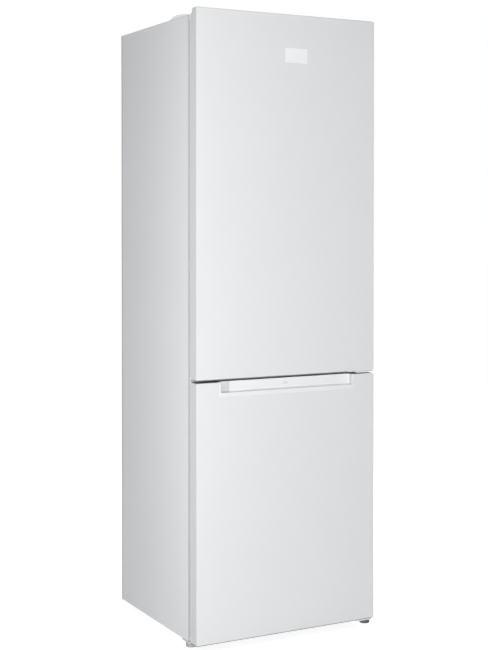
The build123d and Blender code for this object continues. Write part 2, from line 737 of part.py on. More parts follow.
# Moulded roof cover: a low ridge that falls to the front, open below, notched for the hinge arm
def cover_ridge(wall):
    """The cover's outline in the YZ plane, lowered by a wall thickness, as a solid across the cabinet."""
    rear_slope = COVER_RIDGE_HEIGHT / (COVER_DEPTH - COVER_RIDGE_DEPTH)
    front = CABINET_FRONT + wall
    ridge = CABINET_FRONT + COVER_RIDGE_DEPTH
    with BuildPart() as ridge_form:
        with BuildSketch(Plane.YZ):
            with BuildLine():
                start = (front, CABINET_TOP + COVER_FRONT_HEIGHT - wall)
                peak = (ridge, CABINET_TOP + COVER_RIDGE_HEIGHT - wall)
                rear = (CABINET_FRONT + COVER_DEPTH - wall / rear_slope, CABINET_TOP)
                ThreePointArc(
                    start,
                    (CABINET_FRONT + COVER_MIDDLE_DEPTH, CABINET_TOP + COVER_MIDDLE_HEIGHT - wall),
                    peak,
                )
                Polyline(peak, rear, (front, CABINET_TOP), start)
            make_face()
        extrude(amount=SKIN_HALF - COVER_INSET - wall, both=True)
    return ridge_form.part


with BuildPart() as top_cover:
    add(cover_ridge(0))
    fillet(top_cover.edges().filter_by(Axis.X).sort_by(Axis.Z)[-1], COVER_RIDGE_ROUND)
    add(cover_ridge(COVER_WALL), mode=Mode.SUBTRACT)
    with BuildSketch(level(CABINET_TOP)):
        span(
            HALF - FRONT_FLANGE - TOP_PLATE_WIDTH - SEAT_GAP, HALF,
            CABINET_FRONT, CABINET_FRONT + COVER_NOTCH_DEPTH,
        )
    extrude(amount=COVER_RIDGE_HEIGHT, mode=Mode.SUBTRACT)
save(top_cover, "top_cover")


# Doors: a steel skin, plastic caps, a liner with a raised dyke, a foam core and a magnetic seal
def corner_waste(bottom, top):
    """What the round corners on a door's hinge side take off its skin and caps."""
    with BuildPart() as waste:
        with BuildSketch(upright(FRONT)):
            span(PIN_X, HALF, bottom, top)
            rounded_span(-HALF, HALF, bottom, top, DOOR_CORNER, mode=Mode.SUBTRACT)
        extrude(amount=-DOOR_WRAP)
    return waste.part


def door_skin(bottom, top):
    """The steel of a door: its front and two side returns."""
    with BuildPart() as skin:
        with BuildSketch(level(bottom)):
            with BuildLine():
                FilletPolyline(
                    (-HALF, WRAP_REAR), (-HALF, FRONT), (HALF, FRONT), (HALF, WRAP_REAR), radius=DOOR_BEND
                )
                offset(amount=DOOR_STEEL, side=Side.LEFT)
            make_face()
        extrude(amount=top - bottom)
        add(corner_waste(bottom, top), mode=Mode.SUBTRACT)
    return skin.part


def door_cap(bottom, top):
    """A plastic cap that closes the skin at its top or bottom."""
    half = HALF - DOOR_STEEL - CAP_TUCK
    with BuildPart() as cap:
        with BuildSketch(level(bottom)) as outline:
            span(-half, half, FRONT + DOOR_STEEL + CAP_TUCK, WRAP_REAR)
            fillet(outline.vertices().group_by(Axis.Y)[0], DOOR_BEND - DOOR_STEEL - CAP_TUCK)
        extrude(amount=top - bottom)
    return cap.part


def door_lining(bottom, top, dyke, inset):
    """The form that a door liner wraps, drawn in by an inset.

    A dyke, the raised frame on the liner, is (half width, bottom, top, reach).
    """
    half, low, high, reach = dyke
    with BuildPart() as form:
        with BuildSketch(upright(WRAP_REAR)) as rim:
            span(-RIM_HALF + inset, RIM_HALF - inset, bottom + inset, top - inset)
            fillet(rim.vertices().group_by(Axis.X)[-1], DOOR_CORNER - RIM_INSET - inset)
        extrude(amount=inset - DOOR_EDGE)
        with BuildSketch(upright(DOOR_REAR - inset)):
            rounded_span(-half + inset, half - inset, low + inset, high - inset, DYKE_ROUND - inset)
            width = DYKE_WIDTH - inset
            rounded_span(
                -half + width, half - width, low + width, high - width,
                DYKE_INNER_ROUND + inset, mode=Mode.SUBTRACT,
            )
        extrude(amount=-reach)
    return form.part


def door_liner(bottom, top, dyke):
    """The liner sheet of a door, open towards the door's front."""
    with BuildPart() as sheet:
        add(door_lining(bottom, top, dyke, 0))
        add(door_lining(bottom, top, dyke, LINER), mode=Mode.SUBTRACT)
    return sheet


def door_foam(bottom, top, dyke):
    """The foam core between a door's caps and inside its liner."""
    half = RIM_HALF - LINER - BOND
    with BuildPart() as core:
        add(door_lining(bottom, top, dyke, LINER + BOND))
        with BuildSketch(level(bottom + CAP_HEIGHT + BOND)):
            span(-half, half, FRONT + DOOR_STEEL + BOND, WRAP_REAR)
        extrude(amount=top - bottom - 2 * (CAP_HEIGHT + BOND))
    return core


def door_seal(bottom, top):
    """A magnetic seal: a foot on the liner, a pinched bellows and a wider head."""
    left = -HALF + SEAL_LATCH_EDGE
    right = PIN_X - SEAL_PIN_GAP
    head = SEAL_GAP - SEAT_GAP - SEAL_FOOT - SEAL_NECK
    with BuildPart() as seal:
        depth = DOOR_REAR
        for thickness, pinch in ((SEAL_FOOT, 0), (SEAL_NECK, SEAL_PINCH), (head, SEAL_TRIM)):
            width = SEAL_WIDTH - pinch
            with BuildSketch(upright(depth)):
                span(left + pinch, right - pinch, bottom + pinch, top - pinch)
                span(left + width, right - width, bottom + width, top - width, mode=Mode.SUBTRACT)
            extrude(amount=-thickness)
            depth += thickness
    return seal


fridge_dyke = (
    FRIDGE_HALF - DYKE_CLEARANCE,
    FRIDGE_FLOOR + DYKE_CLEARANCE,
    FRIDGE_CEILING - DYKE_CLEARANCE,
    FRIDGE_DYKE,
)
freezer_dyke = (
    FREEZER_HALF - DYKE_CLEARANCE,
    FREEZER_FLOOR + DYKE_CLEARANCE,
    FREEZER_CEILING - DYKE_CLEARANCE,
    FREEZER_DYKE,
)


# Fridge door: the skin and top cap rise in a lip along the front
def behind_lip():
    """The space over the fridge door behind its lip, with a deeper recess round the hinge arm."""
    with BuildPart() as space:
        with BuildSketch(Plane.YZ):
            crest_y = FRONT + LIP_DEPTH - LIP_CREST
            crest_z = UPPER_DOOR_TOP - LIP_CREST
            span(crest_y, WRAP_REAR, SHOULDER, UPPER_DOOR_TOP)
            span(crest_y, crest_y + LIP_CREST, SHOULDER, crest_z, mode=Mode.SUBTRACT)
            with Locations((crest_y, crest_z)):
                Circle(LIP_CREST, mode=Mode.SUBTRACT)
        extrude(amount=HALF, both=True)
        with BuildSketch(level(HINGE_SEAT)):
            span(PIN_X - RECESS_REACH, HALF, FRONT + RECESS_SETBACK, WRAP_REAR)
        extrude(amount=UPPER_DOOR_TOP - HINGE_SEAT)
    return space.part


with BuildPart() as fridge_door_panel:
    add(door_skin(UPPER_DOOR_BOTTOM, UPPER_DOOR_TOP))
    add(behind_lip(), mode=Mode.SUBTRACT)
save(fridge_door_panel, "fridge_door_panel")

with BuildPart() as fridge_door_top_cap:
    add(door_cap(HINGE_SEAT - CAP_HEIGHT, UPPER_DOOR_TOP))
    add(behind_lip(), mode=Mode.SUBTRACT)
    add(corner_waste(UPPER_DOOR_BOTTOM, UPPER_DOOR_TOP), mode=Mode.SUBTRACT)
    with BuildSketch(level(HINGE_SEAT)):
        with Locations((PIN_X, PIN_Y)):
            Circle(PIN_RADIUS + RUNNING_FIT)
    extrude(amount=-PIN_HOLE, mode=Mode.SUBTRACT)
save(fridge_door_top_cap, "fridge_door_top_cap")

with BuildPart() as fridge_door_bottom_cap:
    add(door_cap(UPPER_DOOR_BOTTOM, UPPER_DOOR_BOTTOM + CAP_HEIGHT))
    add(corner_waste(UPPER_DOOR_BOTTOM, UPPER_DOOR_TOP), mode=Mode.SUBTRACT)
    with BuildSketch(level(UPPER_DOOR_BOTTOM)):
        with Locations((PIN_X, PIN_Y)):
            Circle(PIN_RADIUS + RUNNING_FIT)
    extrude(amount=PIN_HOLE, mode=Mode.SUBTRACT)
save(fridge_door_bottom_cap, "fridge_door_bottom_cap")

fridge_door_liner = door_liner(UPPER_DOOR_BOTTOM, HINGE_SEAT, fridge_dyke)
save(fridge_door_liner, "fridge_door_liner")
fridge_door_foam = door_foam(UPPER_DOOR_BOTTOM, HINGE_SEAT, fridge_dyke)
save(fridge_door_foam, "fridge_door_foam")
fridge_door_gasket = door_seal(UPPER_DOOR_BOTTOM + SEAL_SPLIT_EDGE, CABINET_TOP - SEAL_EDGE)
save(fridge_door_gasket, "fridge_door_gasket")


# Freezer door: a moulded insert with a finger pocket fills a cut-out in its top edge
def handle_form(grow):
    """The block with round lower corners that the handle insert fills, grown outwards."""
    half = POCKET_WIDTH / 2 + HANDLE_FRAME + grow
    with BuildPart() as block:
        with BuildSketch(upright(FRONT - grow)) as outline:
            span(-half, half, LOWER_DOOR_TOP - HANDLE_DROP - grow, LOWER_DOOR_TOP + grow)
            fillet(outline.vertices().group_by(Axis.Y)[0], HANDLE_CORNER + grow)
        extrude(amount=-(POCKET_DEPTH + HANDLE_WALL + 2 * grow))
    return block.part


with BuildPart() as freezer_door_panel:
    add(door_skin(FLOOR_GAP, LOWER_DOOR_TOP))
    add(handle_form(CAP_TUCK), mode=Mode.SUBTRACT)
save(freezer_door_panel, "freezer_door_panel")

with BuildPart() as freezer_door_top_cap:
    add(door_cap(LOWER_DOOR_TOP - CAP_HEIGHT, LOWER_DOOR_TOP))
    add(corner_waste(FLOOR_GAP, LOWER_DOOR_TOP), mode=Mode.SUBTRACT)
    add(handle_form(CAP_TUCK), mode=Mode.SUBTRACT)
    with BuildSketch(level(LOWER_DOOR_TOP)):
        with Locations((PIN_X, PIN_Y)):
            Circle(PIN_RADIUS + RUNNING_FIT)
    extrude(amount=-PIN_HOLE, mode=Mode.SUBTRACT)
save(freezer_door_top_cap, "freezer_door_top_cap")

with BuildPart() as freezer_door_bottom_cap:
    add(door_cap(FLOOR_GAP, FLOOR_GAP + CAP_HEIGHT))
    add(corner_waste(FLOOR_GAP, LOWER_DOOR_TOP), mode=Mode.SUBTRACT)
    with BuildSketch(level(FLOOR_GAP)):
        with Locations((PIN_X, PIN_Y)):
            Circle(PIN_RADIUS + RUNNING_FIT)
    extrude(amount=PIN_HOLE, mode=Mode.SUBTRACT)
save(freezer_door_bottom_cap, "freezer_door_bottom_cap")

freezer_door_liner = door_liner(FLOOR_GAP, LOWER_DOOR_TOP, freezer_dyke)
save(freezer_door_liner, "freezer_door_liner")
with BuildPart() as freezer_door_foam:
    add(door_foam(FLOOR_GAP, LOWER_DOOR_TOP, freezer_dyke).part)
    add(handle_form(BOND), mode=Mode.SUBTRACT)
save(freezer_door_foam, "freezer_door_foam")
freezer_door_gasket = door_seal(FLOOR_GAP + SEAL_EDGE, LOWER_DOOR_TOP - SEAL_SPLIT_EDGE)
save(freezer_door_gasket, "freezer_door_gasket")

with BuildPart() as freezer_door_handle:
    add(handle_form(0))
    pocket_bottom = LOWER_DOOR_TOP - HANDLE_DROP + POCKET_FLOOR
    with BuildSketch(Plane.YZ):
        with BuildLine():
            Polyline(
                (FRONT - LIP_WALL, LOWER_DOOR_TOP - POCKET_DROP),
                (FRONT + LIP_WALL, LOWER_DOOR_TOP - POCKET_DROP),
                (FRONT + LIP_WALL, pocket_bottom),
                (FRONT + POCKET_DEPTH, pocket_bottom),
                (FRONT + POCKET_DEPTH, LOWER_DOOR_TOP),
                (FRONT - LIP_WALL, LOWER_DOOR_TOP),
                close=True,
            )
        make_face()
    extrude(amount=POCKET_WIDTH / 2, both=True, mode=Mode.SUBTRACT)
    lip_edges = freezer_door_handle.edges().filter_by(Axis.X).filter_by_position(
        Axis.Z, LOWER_DOOR_TOP - POCKET_DROP - LIP_ROUND, LOWER_DOOR_TOP - POCKET_DROP + LIP_ROUND
    )
    fillet(lip_edges, LIP_ROUND)
    with BuildSketch(upright(FRONT + POCKET_DEPTH)):
        with Locations((0, LOWER_DOOR_TOP - POCKET_DROP / 2)):
            SlotOverall(PLUG_LENGTH, 2 * PLUG_RADIUS)
    extrude(amount=PLUG_HEIGHT)
save(freezer_door_handle, "freezer_door_handle")


# Open-topped moulded tubs: door bins and drawers
def tapered_block(half, front, rear, bottom, top, draft, radius):
    """A block with round corners that narrows towards its bottom."""
    with BuildPart() as block:
        for height, shrink in ((bottom, draft), (top, 0)):
            with BuildSketch(level(height)):
                rounded_span(-half + shrink, half - shrink, front + shrink, rear - shrink, radius)
        loft()
    return block.part


def bin_tub(bottom, height):
    """A bin between the dykes of the fridge door, with a rail band along its rear edge."""
    half = fridge_dyke[0] - DYKE_WIDTH - BIN_FIT
    front = DOOR_REAR + BIN_FIT
    rear = FRONT + BIN_REAR - RAIL_BAND_WALL
    top = bottom + height
    with BuildPart() as tub:
        add(tapered_block(half, front, rear, bottom, top, BIN_DRAFT, BIN_ROUND))
        with BuildSketch(level(top - RAIL_BAND)):
            rounded_span(-half, half, front, rear + RAIL_BAND_WALL, BIN_ROUND)
        extrude(amount=RAIL_BAND)
        add(
            tapered_block(
                half - BIN_WALL, front + BIN_WALL, rear - BIN_WALL,
                bottom + BIN_WALL, top, BIN_DRAFT, BIN_ROUND - BIN_WALL,
            ),
            mode=Mode.SUBTRACT,
        )
    return tub.part


with BuildPart() as upper_door_bins:
    for rise in BIN_LEVELS:
        add(bin_tub(FRIDGE_FLOOR + rise, BIN_HEIGHT))
save(upper_door_bins, "upper_door_bins")

with BuildPart() as bottle_bin:
    add(bin_tub(FRIDGE_FLOOR + DYKE_CLEARANCE + DYKE_WIDTH + DYKE_INNER_ROUND, BOTTLE_BIN_HEIGHT))
save(bottle_bin, "bottle_bin")


def drawer(half, front, rear, bottom, height):
    """A drawer with a thick front and a finger slot through it."""
    top = bottom + height
    with BuildPart() as tub:
        add(tapered_block(half, front, rear, bottom, top, DRAWER_DRAFT, DRAWER_ROUND))
        with BuildSketch(level(bottom)):
            span(-half, half, front, front + DRAWER_FRONT_WALL)
        extrude(amount=height)
        add(
            tapered_block(
                half - DRAWER_WALL, front + DRAWER_FRONT_WALL, rear - DRAWER_WALL,
                bottom + DRAWER_WALL, top, DRAWER_DRAFT, DRAWER_ROUND - DRAWER_WALL,
            ),
            mode=Mode.SUBTRACT,
        )
        with BuildSketch(upright(front)):
            with Locations((0, top - GRIP_DROP)):
                SlotOverall(GRIP_WIDTH, GRIP_HEIGHT)
        extrude(amount=-(DRAWER_FRONT_WALL + DRAWER_DRAFT), mode=Mode.SUBTRACT)
    return tub


crisper_drawer = drawer(
    FRIDGE_HALF - CRISPER_SIDE_GAP, FRONT + CRISPER_SETBACK, shelf_rear - DRAWER_ROUND,
    FRIDGE_FLOOR + DRAWER_LIFT, CRISPER_HEIGHT,
)
save(crisper_drawer, "crisper_drawer")

drawer_half = FREEZER_HALF - RIB_WIDTH - DRAWER_SIDE_GAP
drawer_rear = CAVITY_REAR - FREEZER_ROUND
freezer_drawer_top = drawer(
    drawer_half, drawer_front, drawer_rear, top_plate_height + plate_rise, TOP_DRAWER_HEIGHT
)
save(freezer_drawer_top, "freezer_drawer_top")
freezer_drawer_middle = drawer(
    drawer_half, drawer_front, drawer_rear, middle_plate_height + plate_rise, MIDDLE_DRAWER_HEIGHT
)
save(freezer_drawer_middle, "freezer_drawer_middle")
freezer_drawer_bottom = drawer(
    drawer_half, drawer_front, STEP_FRONT - FREEZER_ROUND, FREEZER_FLOOR + DRAWER_LIFT,
    middle_plate_height - FREEZER_FLOOR - DRAWER_LIFT - DRAWER_HEADROOM,
)
save(freezer_drawer_bottom, "freezer_drawer_bottom")

# Shelves: glass on the liner's ribs, each with a trim along its front edge
shelf_half = FRIDGE_HALF - SHELF_SIDE_GAP


def shelf_glass(height):
    """A sheet of glass whose rear corners follow the round corners of the liner."""
    with BuildPart() as sheet:
        with BuildSketch(level(height)) as outline:
            span(-shelf_half, shelf_half, shelf_front, shelf_rear)
            fillet(outline.vertices().group_by(Axis.Y)[-1], FRIDGE_ROUND)
        extrude(amount=SHELF_GLASS)
    return sheet.part


with BuildPart() as glass_shelves:
    for height in shelf_heights:
        add(shelf_glass(height))
save(glass_shelves, "glass_shelves")

with BuildPart() as crisper_lid:
    add(shelf_glass(lid_height))
save(crisper_lid, "crisper_lid")

with BuildPart() as shelf_trims:
    for height in shelf_heights + [lid_height]:
        with BuildSketch(Plane.YZ):
            span(
                shelf_front - TRIM_WALL, shelf_front - BOND,
                height - TRIM_DROP, height + SHELF_GLASS + TRIM_WALL,
            )
            span(
                shelf_front - TRIM_WALL, shelf_front + TRIM_WRAP,
                height + SHELF_GLASS + BOND, height + SHELF_GLASS + TRIM_WALL,
            )
        extrude(amount=shelf_half, both=True)
save(shelf_trims, "shelf_trims")

with BuildPart() as freezer_shelves:
    plate_half = FREEZER_HALF - PLATE_SIDE_GAP
    for height in (top_plate_height, middle_plate_height):
        with BuildSketch(level(height)):
            span(-plate_half, plate_half, drawer_front, drawer_rear)
        extrude(amount=SHELF_PLATE)
save(freezer_shelves, "freezer_shelves")

# Controls: a housing under the fridge ceiling with a turning knob, and a lamp behind it
control_front = FRONT + CONTROL_SETBACK
control_rear = control_front + CONTROL_DEPTH
control_bottom = FRIDGE_CEILING - CONTROL_HEIGHT
knob_middle = (KNOB_OFFSET, FRIDGE_CEILING - CONTROL_HEIGHT / 2)
with BuildPart() as control_housing:
    with BuildSketch(level(control_bottom)):
        rounded_span(-CONTROL_WIDTH / 2, CONTROL_WIDTH / 2, control_front, control_rear, CONTROL_ROUND)
    extrude(amount=CONTROL_HEIGHT - BOND)
    fillet(control_housing.faces().sort_by(Axis.Z)[0].edges(), CONTROL_ROUND / 2)
    with BuildSketch(upright(control_front)):
        with Locations(knob_middle):
            Circle(SPINDLE_RADIUS)
    extrude(amount=SPINDLE_REACH)
save(control_housing, "control_housing")

with BuildPart() as thermostat_knob:
    with BuildSketch(upright(control_front - SEAT_GAP)):
        with Locations(knob_middle):
            Circle(KNOB_RADIUS)
            with PolarLocations(KNOB_RADIUS, KNOB_FLUTES):
                Circle(KNOB_FLUTE_RADIUS, mode=Mode.SUBTRACT)
    extrude(amount=KNOB_DEPTH)
    with BuildSketch(upright(control_front - SEAT_GAP)):
        with Locations(knob_middle):
            Circle(SPINDLE_RADIUS + RUNNING_FIT)
    extrude(amount=SPINDLE_REACH, mode=Mode.SUBTRACT)
save(thermostat_knob, "thermostat_knob")

with BuildPart() as lamp_cover:
    with BuildSketch(level(FRIDGE_CEILING - LAMP_HEIGHT)):
        rounded_span(
            -LAMP_WIDTH / 2, LAMP_WIDTH / 2,
            control_rear + BOND, control_rear + BOND + LAMP_DEPTH, LAMP_ROUND,
        )
    extrude(amount=LAMP_HEIGHT - BOND)
    offset(amount=-LAMP_WALL, openings=lamp_cover.faces().sort_by(Axis.Z)[-1])
save(lamp_cover, "lamp_cover")


# Feet and rollers
def foot(centre, steps):
    """A turned foot. Its stem is a list of (radius, top) steps above the disc and neck."""
    with BuildPart() as turned:
        with BuildSketch(level(0)):
            with Locations(centre):
                Circle(FOOT_RADIUS)
        extrude(amount=FOOT_HEIGHT)
        chamfer(turned.edges().filter_by(GeomType.CIRCLE), FOOT_CHAMFER)
        bottom = FOOT_HEIGHT
        for radius, top in steps:
            with BuildSketch(level(bottom)):
                with Locations(centre):
                    Circle(radius)
            extrude(amount=top - bottom)
            bottom = top
    return turned


neck_top = hinge_bottom - SEAT_GAP
front_left_foot = foot(
    (-HALF + LEFT_FOOT_INSET, FRONT + LEFT_FOOT_SETBACK),
    [(FOOT_NECK_RADIUS, neck_top), (STUD_RADIUS, STUD_TOP)],
)
save(front_left_foot, "front_left_foot")
front_right_foot = foot(
    (PIN_X, PIN_Y),
    [
        (FOOT_NECK_RADIUS, neck_top),
        (STUD_RADIUS, FLOOR_GAP - SEAT_GAP),
        (PIN_RADIUS, FLOOR_GAP + PIN_REACH),
    ],
)
save(front_right_foot, "front_right_foot")

roller_y = CABINET_REAR - ROLLER_SETBACK
roller_x = HALF - ROLLER_INSET
with BuildPart() as rear_right_roller:
    with BuildSketch(Plane.YZ.offset(roller_x - ROLLER_WIDTH / 2)):
        with Locations((roller_y, ROLLER_RADIUS)):
            Circle(ROLLER_RADIUS)
            Circle(AXLE_RADIUS + RUNNING_FIT, mode=Mode.SUBTRACT)
    extrude(amount=ROLLER_WIDTH)
    chamfer(
        rear_right_roller.edges().filter_by(GeomType.CIRCLE).group_by(SortBy.RADIUS)[-1], FOOT_CHAMFER
    )
save(rear_right_roller, "rear_right_roller")

with BuildPart() as rear_left_roller:
    mirror(rear_right_roller.part, about=Plane.YZ)
save(rear_left_roller, "rear_left_roller")

with BuildPart() as roller_brackets:
    cheek_reach = ROLLER_WIDTH / 2 + CHEEK_GAP + CHEEK
    with BuildSketch(Plane.YZ.offset(roller_x - cheek_reach)):
        span(
            roller_y - BRACKET_DEPTH / 2, roller_y + BRACKET_DEPTH / 2,
            ROLLER_RADIUS - CHEEK_MARGIN, BASE_HEIGHT,
        )
    extrude(amount=2 * cheek_reach)
    with BuildSketch(Plane.YZ.offset(roller_x - cheek_reach + CHEEK)):
        span(
            roller_y - BRACKET_DEPTH / 2, roller_y + BRACKET_DEPTH / 2,
            0, BASE_HEIGHT - CHEEK,
        )
    extrude(amount=2 * (cheek_reach - CHEEK), mode=Mode.SUBTRACT)
    with BuildSketch(Plane.YZ.offset(roller_x - cheek_reach)):
        with Locations((roller_y, ROLLER_RADIUS)):
            Circle(AXLE_RADIUS)
    extrude(amount=2 * cheek_reach)
    mirror(about=Plane.YZ)
save(roller_brackets, "roller_brackets")

# Compressor, standing on rubber mounts on a base across the niche
base_floor = BASE_HEIGHT + BASE_SHEET
gland_y = CABINET_REAR - GLAND_SETBACK
with BuildPart() as compressor_base:
    with BuildSketch(upright(NICHE_FRONT + BASE_FRONT_GAP)):
        with BuildLine():
            FilletPolyline(
                (-SKIN_HALF, BASE_HEIGHT + BASE_FLANGE),
                (-SKIN_HALF, BASE_HEIGHT),
                (SKIN_HALF, BASE_HEIGHT),
                (SKIN_HALF, BASE_HEIGHT + BASE_FLANGE),
                radius=BASE_BEND,
            )
            offset(amount=BASE_SHEET, side=Side.LEFT)
        make_face()
    extrude(amount=-(NICHE_DEPTH - BASE_FRONT_GAP - BASE_REAR_GAP))
    with BuildSketch(level(BASE_HEIGHT)):
        with Locations((GLAND_X, gland_y)):
            Circle(GLAND_RADIUS - GLAND_LIP)
    extrude(amount=BASE_SHEET, mode=Mode.SUBTRACT)
save(compressor_base, "compressor_base")

compressor_y = CABINET_REAR - COMPRESSOR_SETBACK
compressor_plane = Plane(origin=(COMPRESSOR_X, compressor_y, base_floor + MOUNT_HEIGHT))
mount_spots = GridLocations(
    FOOT_PLATE_LENGTH - 2 * MOUNT_MARGIN, FOOT_PLATE_WIDTH - 2 * MOUNT_MARGIN, 2, 2
)
body_middle = base_floor + MOUNT_HEIGHT + FOOT_PLATE + SEAM_HEIGHT
stub_z = base_floor + MOUNT_HEIGHT + STUB_HEIGHT
with BuildPart() as compressor:
    with BuildSketch(compressor_plane.offset(FOOT_PLATE)):
        SlotOverall(COMPRESSOR_LENGTH, COMPRESSOR_WIDTH)
    extrude(amount=COMPRESSOR_HEIGHT)
    fillet(compressor.faces().sort_by(Axis.Z)[-1].edges(), COMPRESSOR_CROWN)
    fillet(compressor.faces().sort_by(Axis.Z)[0].edges(), COMPRESSOR_KEEL)
    with BuildSketch(compressor_plane):
        RectangleRounded(FOOT_PLATE_LENGTH, FOOT_PLATE_WIDTH, FOOT_PLATE_ROUND)
    extrude(amount=FOOT_PLATE)
    with BuildSketch(compressor_plane.offset(FOOT_PLATE + SEAM_HEIGHT)):
        SlotOverall(COMPRESSOR_LENGTH + 2 * SEAM_PROUD, COMPRESSOR_WIDTH + 2 * SEAM_PROUD)
    extrude(amount=SEAM_THICKNESS)
    with BuildSketch(Plane.YZ.offset(COMPRESSOR_X)):
        for side in (-1, 1):
            with Locations((compressor_y + side * STUB_SPREAD / 2, stub_z)):
                Circle(STUB_RADIUS)
    extrude(amount=-(COMPRESSOR_LENGTH / 2 + STUB_LENGTH))
save(compressor, "compressor")

with BuildPart() as compressor_mounts:
    with BuildSketch(Plane(origin=(COMPRESSOR_X, compressor_y, base_floor))):
        with mount_spots:
            Circle(MOUNT_RADIUS)
    extrude(amount=MOUNT_HEIGHT)
    with BuildSketch(Plane(origin=(COMPRESSOR_X, compressor_y, base_floor + MOUNT_HEIGHT / 3))):
        with mount_spots:
            Circle(MOUNT_RADIUS)
            Circle(MOUNT_RADIUS - MOUNT_WAIST, mode=Mode.SUBTRACT)
    extrude(amount=MOUNT_HEIGHT / 3, mode=Mode.SUBTRACT)
save(compressor_mounts, "compressor_mounts")

terminal_x = COMPRESSOR_X + COMPRESSOR_LENGTH / 2 + SEAM_PROUD + SEAT_GAP
with BuildPart() as terminal_box:
    with BuildSketch(Plane.YZ.offset(terminal_x)):
        with Locations((compressor_y, body_middle)):
            RectangleRounded(TERMINAL_DEPTH, TERMINAL_HEIGHT, TERMINAL_ROUND)
    extrude(amount=TERMINAL_WIDTH)
    fillet(terminal_box.faces().sort_by(Axis.X)[-1].edges(), TERMINAL_ROUND / 2)
save(terminal_box, "terminal_box")

tray_bottom = base_floor + MOUNT_HEIGHT + FOOT_PLATE + COMPRESSOR_HEIGHT + SEAT_GAP
with BuildPart() as drip_tray:
    with BuildSketch(Plane(origin=(COMPRESSOR_X, compressor_y, tray_bottom))):
        RectangleRounded(TRAY_LENGTH, TRAY_WIDTH, TRAY_ROUND)
    extrude(amount=TRAY_HEIGHT)
    offset(amount=-TRAY_WALL, openings=drip_tray.faces().sort_by(Axis.Z)[-1])
save(drip_tray, "drip_tray")

with BuildPart() as cord_gland:
    with BuildSketch(Plane(origin=(GLAND_X, gland_y, 0), x_dir=(1, 0, 0), z_dir=(0, -1, 0))):
        with BuildLine():
            neck = GLAND_RADIUS - GLAND_LIP - GLAND_FIT
            lower = BASE_HEIGHT - GLAND_FIT
            upper = base_floor + GLAND_FIT
            Polyline(
                (GLAND_HOLE, lower - GLAND_GROOVE),
                (GLAND_RADIUS, lower - GLAND_GROOVE),
                (GLAND_RADIUS, lower),
                (neck, lower),
                (neck, upper),
                (GLAND_RADIUS, upper),
                (GLAND_RADIUS, upper + GLAND_GROOVE),
                (GLAND_HOLE, upper + GLAND_GROOVE),
                close=True,
            )
        make_face()
    revolve(axis=Axis((GLAND_X, gland_y, 0), (0, 0, 1)))
save(cord_gland, "cord_gland")

# Condenser: one flat tube that climbs a riser and comes down in a serpentine
condenser_y = CABINET_REAR + CONDENSER_STANDOFF
run_half = CONDENSER_WIDTH / 2
riser_x = -run_half - RISER_GAP
condenser_top = CABINET_TOP - CONDENSER_TOP_GAP
drier_y = CABINET_REAR - DRIER_SETBACK
drier_inlet = DRIER_TOP + DRIER_NECK
tube_foot = drier_inlet + PIPE_RUN + RISER_BEND
run_heights = [condenser_top - run * CONDENSER_PITCH for run in range(CONDENSER_RUNS)]
route = [(riser_x, condenser_y, tube_foot), (riser_x, condenser_y, condenser_top)]
bends = [RISER_BEND]
for run, height in enumerate(run_heights[:-1]):
    end = run_half if run % 2 == 0 else -run_half
    route += [(end, condenser_y, height), (end, condenser_y, height - CONDENSER_PITCH)]
    bends += [CONDENSER_BEND, CONDENSER_BEND]
route += [(DRIER_X, condenser_y, run_heights[-1]), (DRIER_X, condenser_y, tube_foot)]
bends.append(RISER_BEND)


def tube(points, bend, radius):
    """A tube along straight runs with round bends."""
    with BuildPart() as pipe:
        with BuildLine() as path:
            FilletPolyline(*points, radius=bend)
        with BuildSketch(Plane(origin=path.line @ 0, z_dir=path.line % 0)):
            RegularPolygon(radius, TUBE_SIDES)
        sweep(path=path.line)
    return pipe


condenser_tube = tube(route, bends, TUBE_RADIUS)
save(condenser_tube, "condenser_tube")

wire_top = condenser_top + WIRE_MARGIN
wire_bottom = run_heights[-1] - WIRE_MARGIN
wire_pitch = (CONDENSER_WIDTH - 2 * (CONDENSER_BEND + CLIP_POST + 2 * WIRE)) / (WIRE_COUNT - 1)
with BuildPart() as condenser_wires:
    for side in (-1, 1):
        wire_y = condenser_y + side * (TUBE_RADIUS + WIRE_FIT + WIRE / 2)
        with BuildSketch(level(wire_bottom)):
            with Locations((0, wire_y)):
                with GridLocations(wire_pitch, WIRE, WIRE_COUNT, 1):
                    Rectangle(WIRE, WIRE)
        extrude(amount=wire_top - wire_bottom)
save(condenser_wires, "condenser_wires")

with BuildPart() as condenser_brackets:
    for clip_height in (run_heights[1], run_heights[-2]):
        for side in (-1, 1):
            clip_x = side * (run_half - CONDENSER_BEND - CLIP_POST / 2)
            with BuildSketch(upright(BACK_FACE)):
                with Locations((clip_x, clip_height)):
                    Rectangle(CLIP_WIDTH, CLIP_HEIGHT)
            extrude(amount=-CLIP_FOOT)
            with BuildSketch(Plane.YZ.offset(clip_x - CLIP_POST / 2)):
                eye = TUBE_RADIUS + CLIP_WALL
                with Locations((condenser_y, clip_height)):
                    Circle(eye)
                span(BACK_FACE, condenser_y, clip_height - eye, clip_height + eye)
                with Locations((condenser_y, clip_height)):
                    Circle(TUBE_RADIUS + WIRE_FIT, mode=Mode.SUBTRACT)
            extrude(amount=CLIP_POST)
save(condenser_brackets, "condenser_brackets")

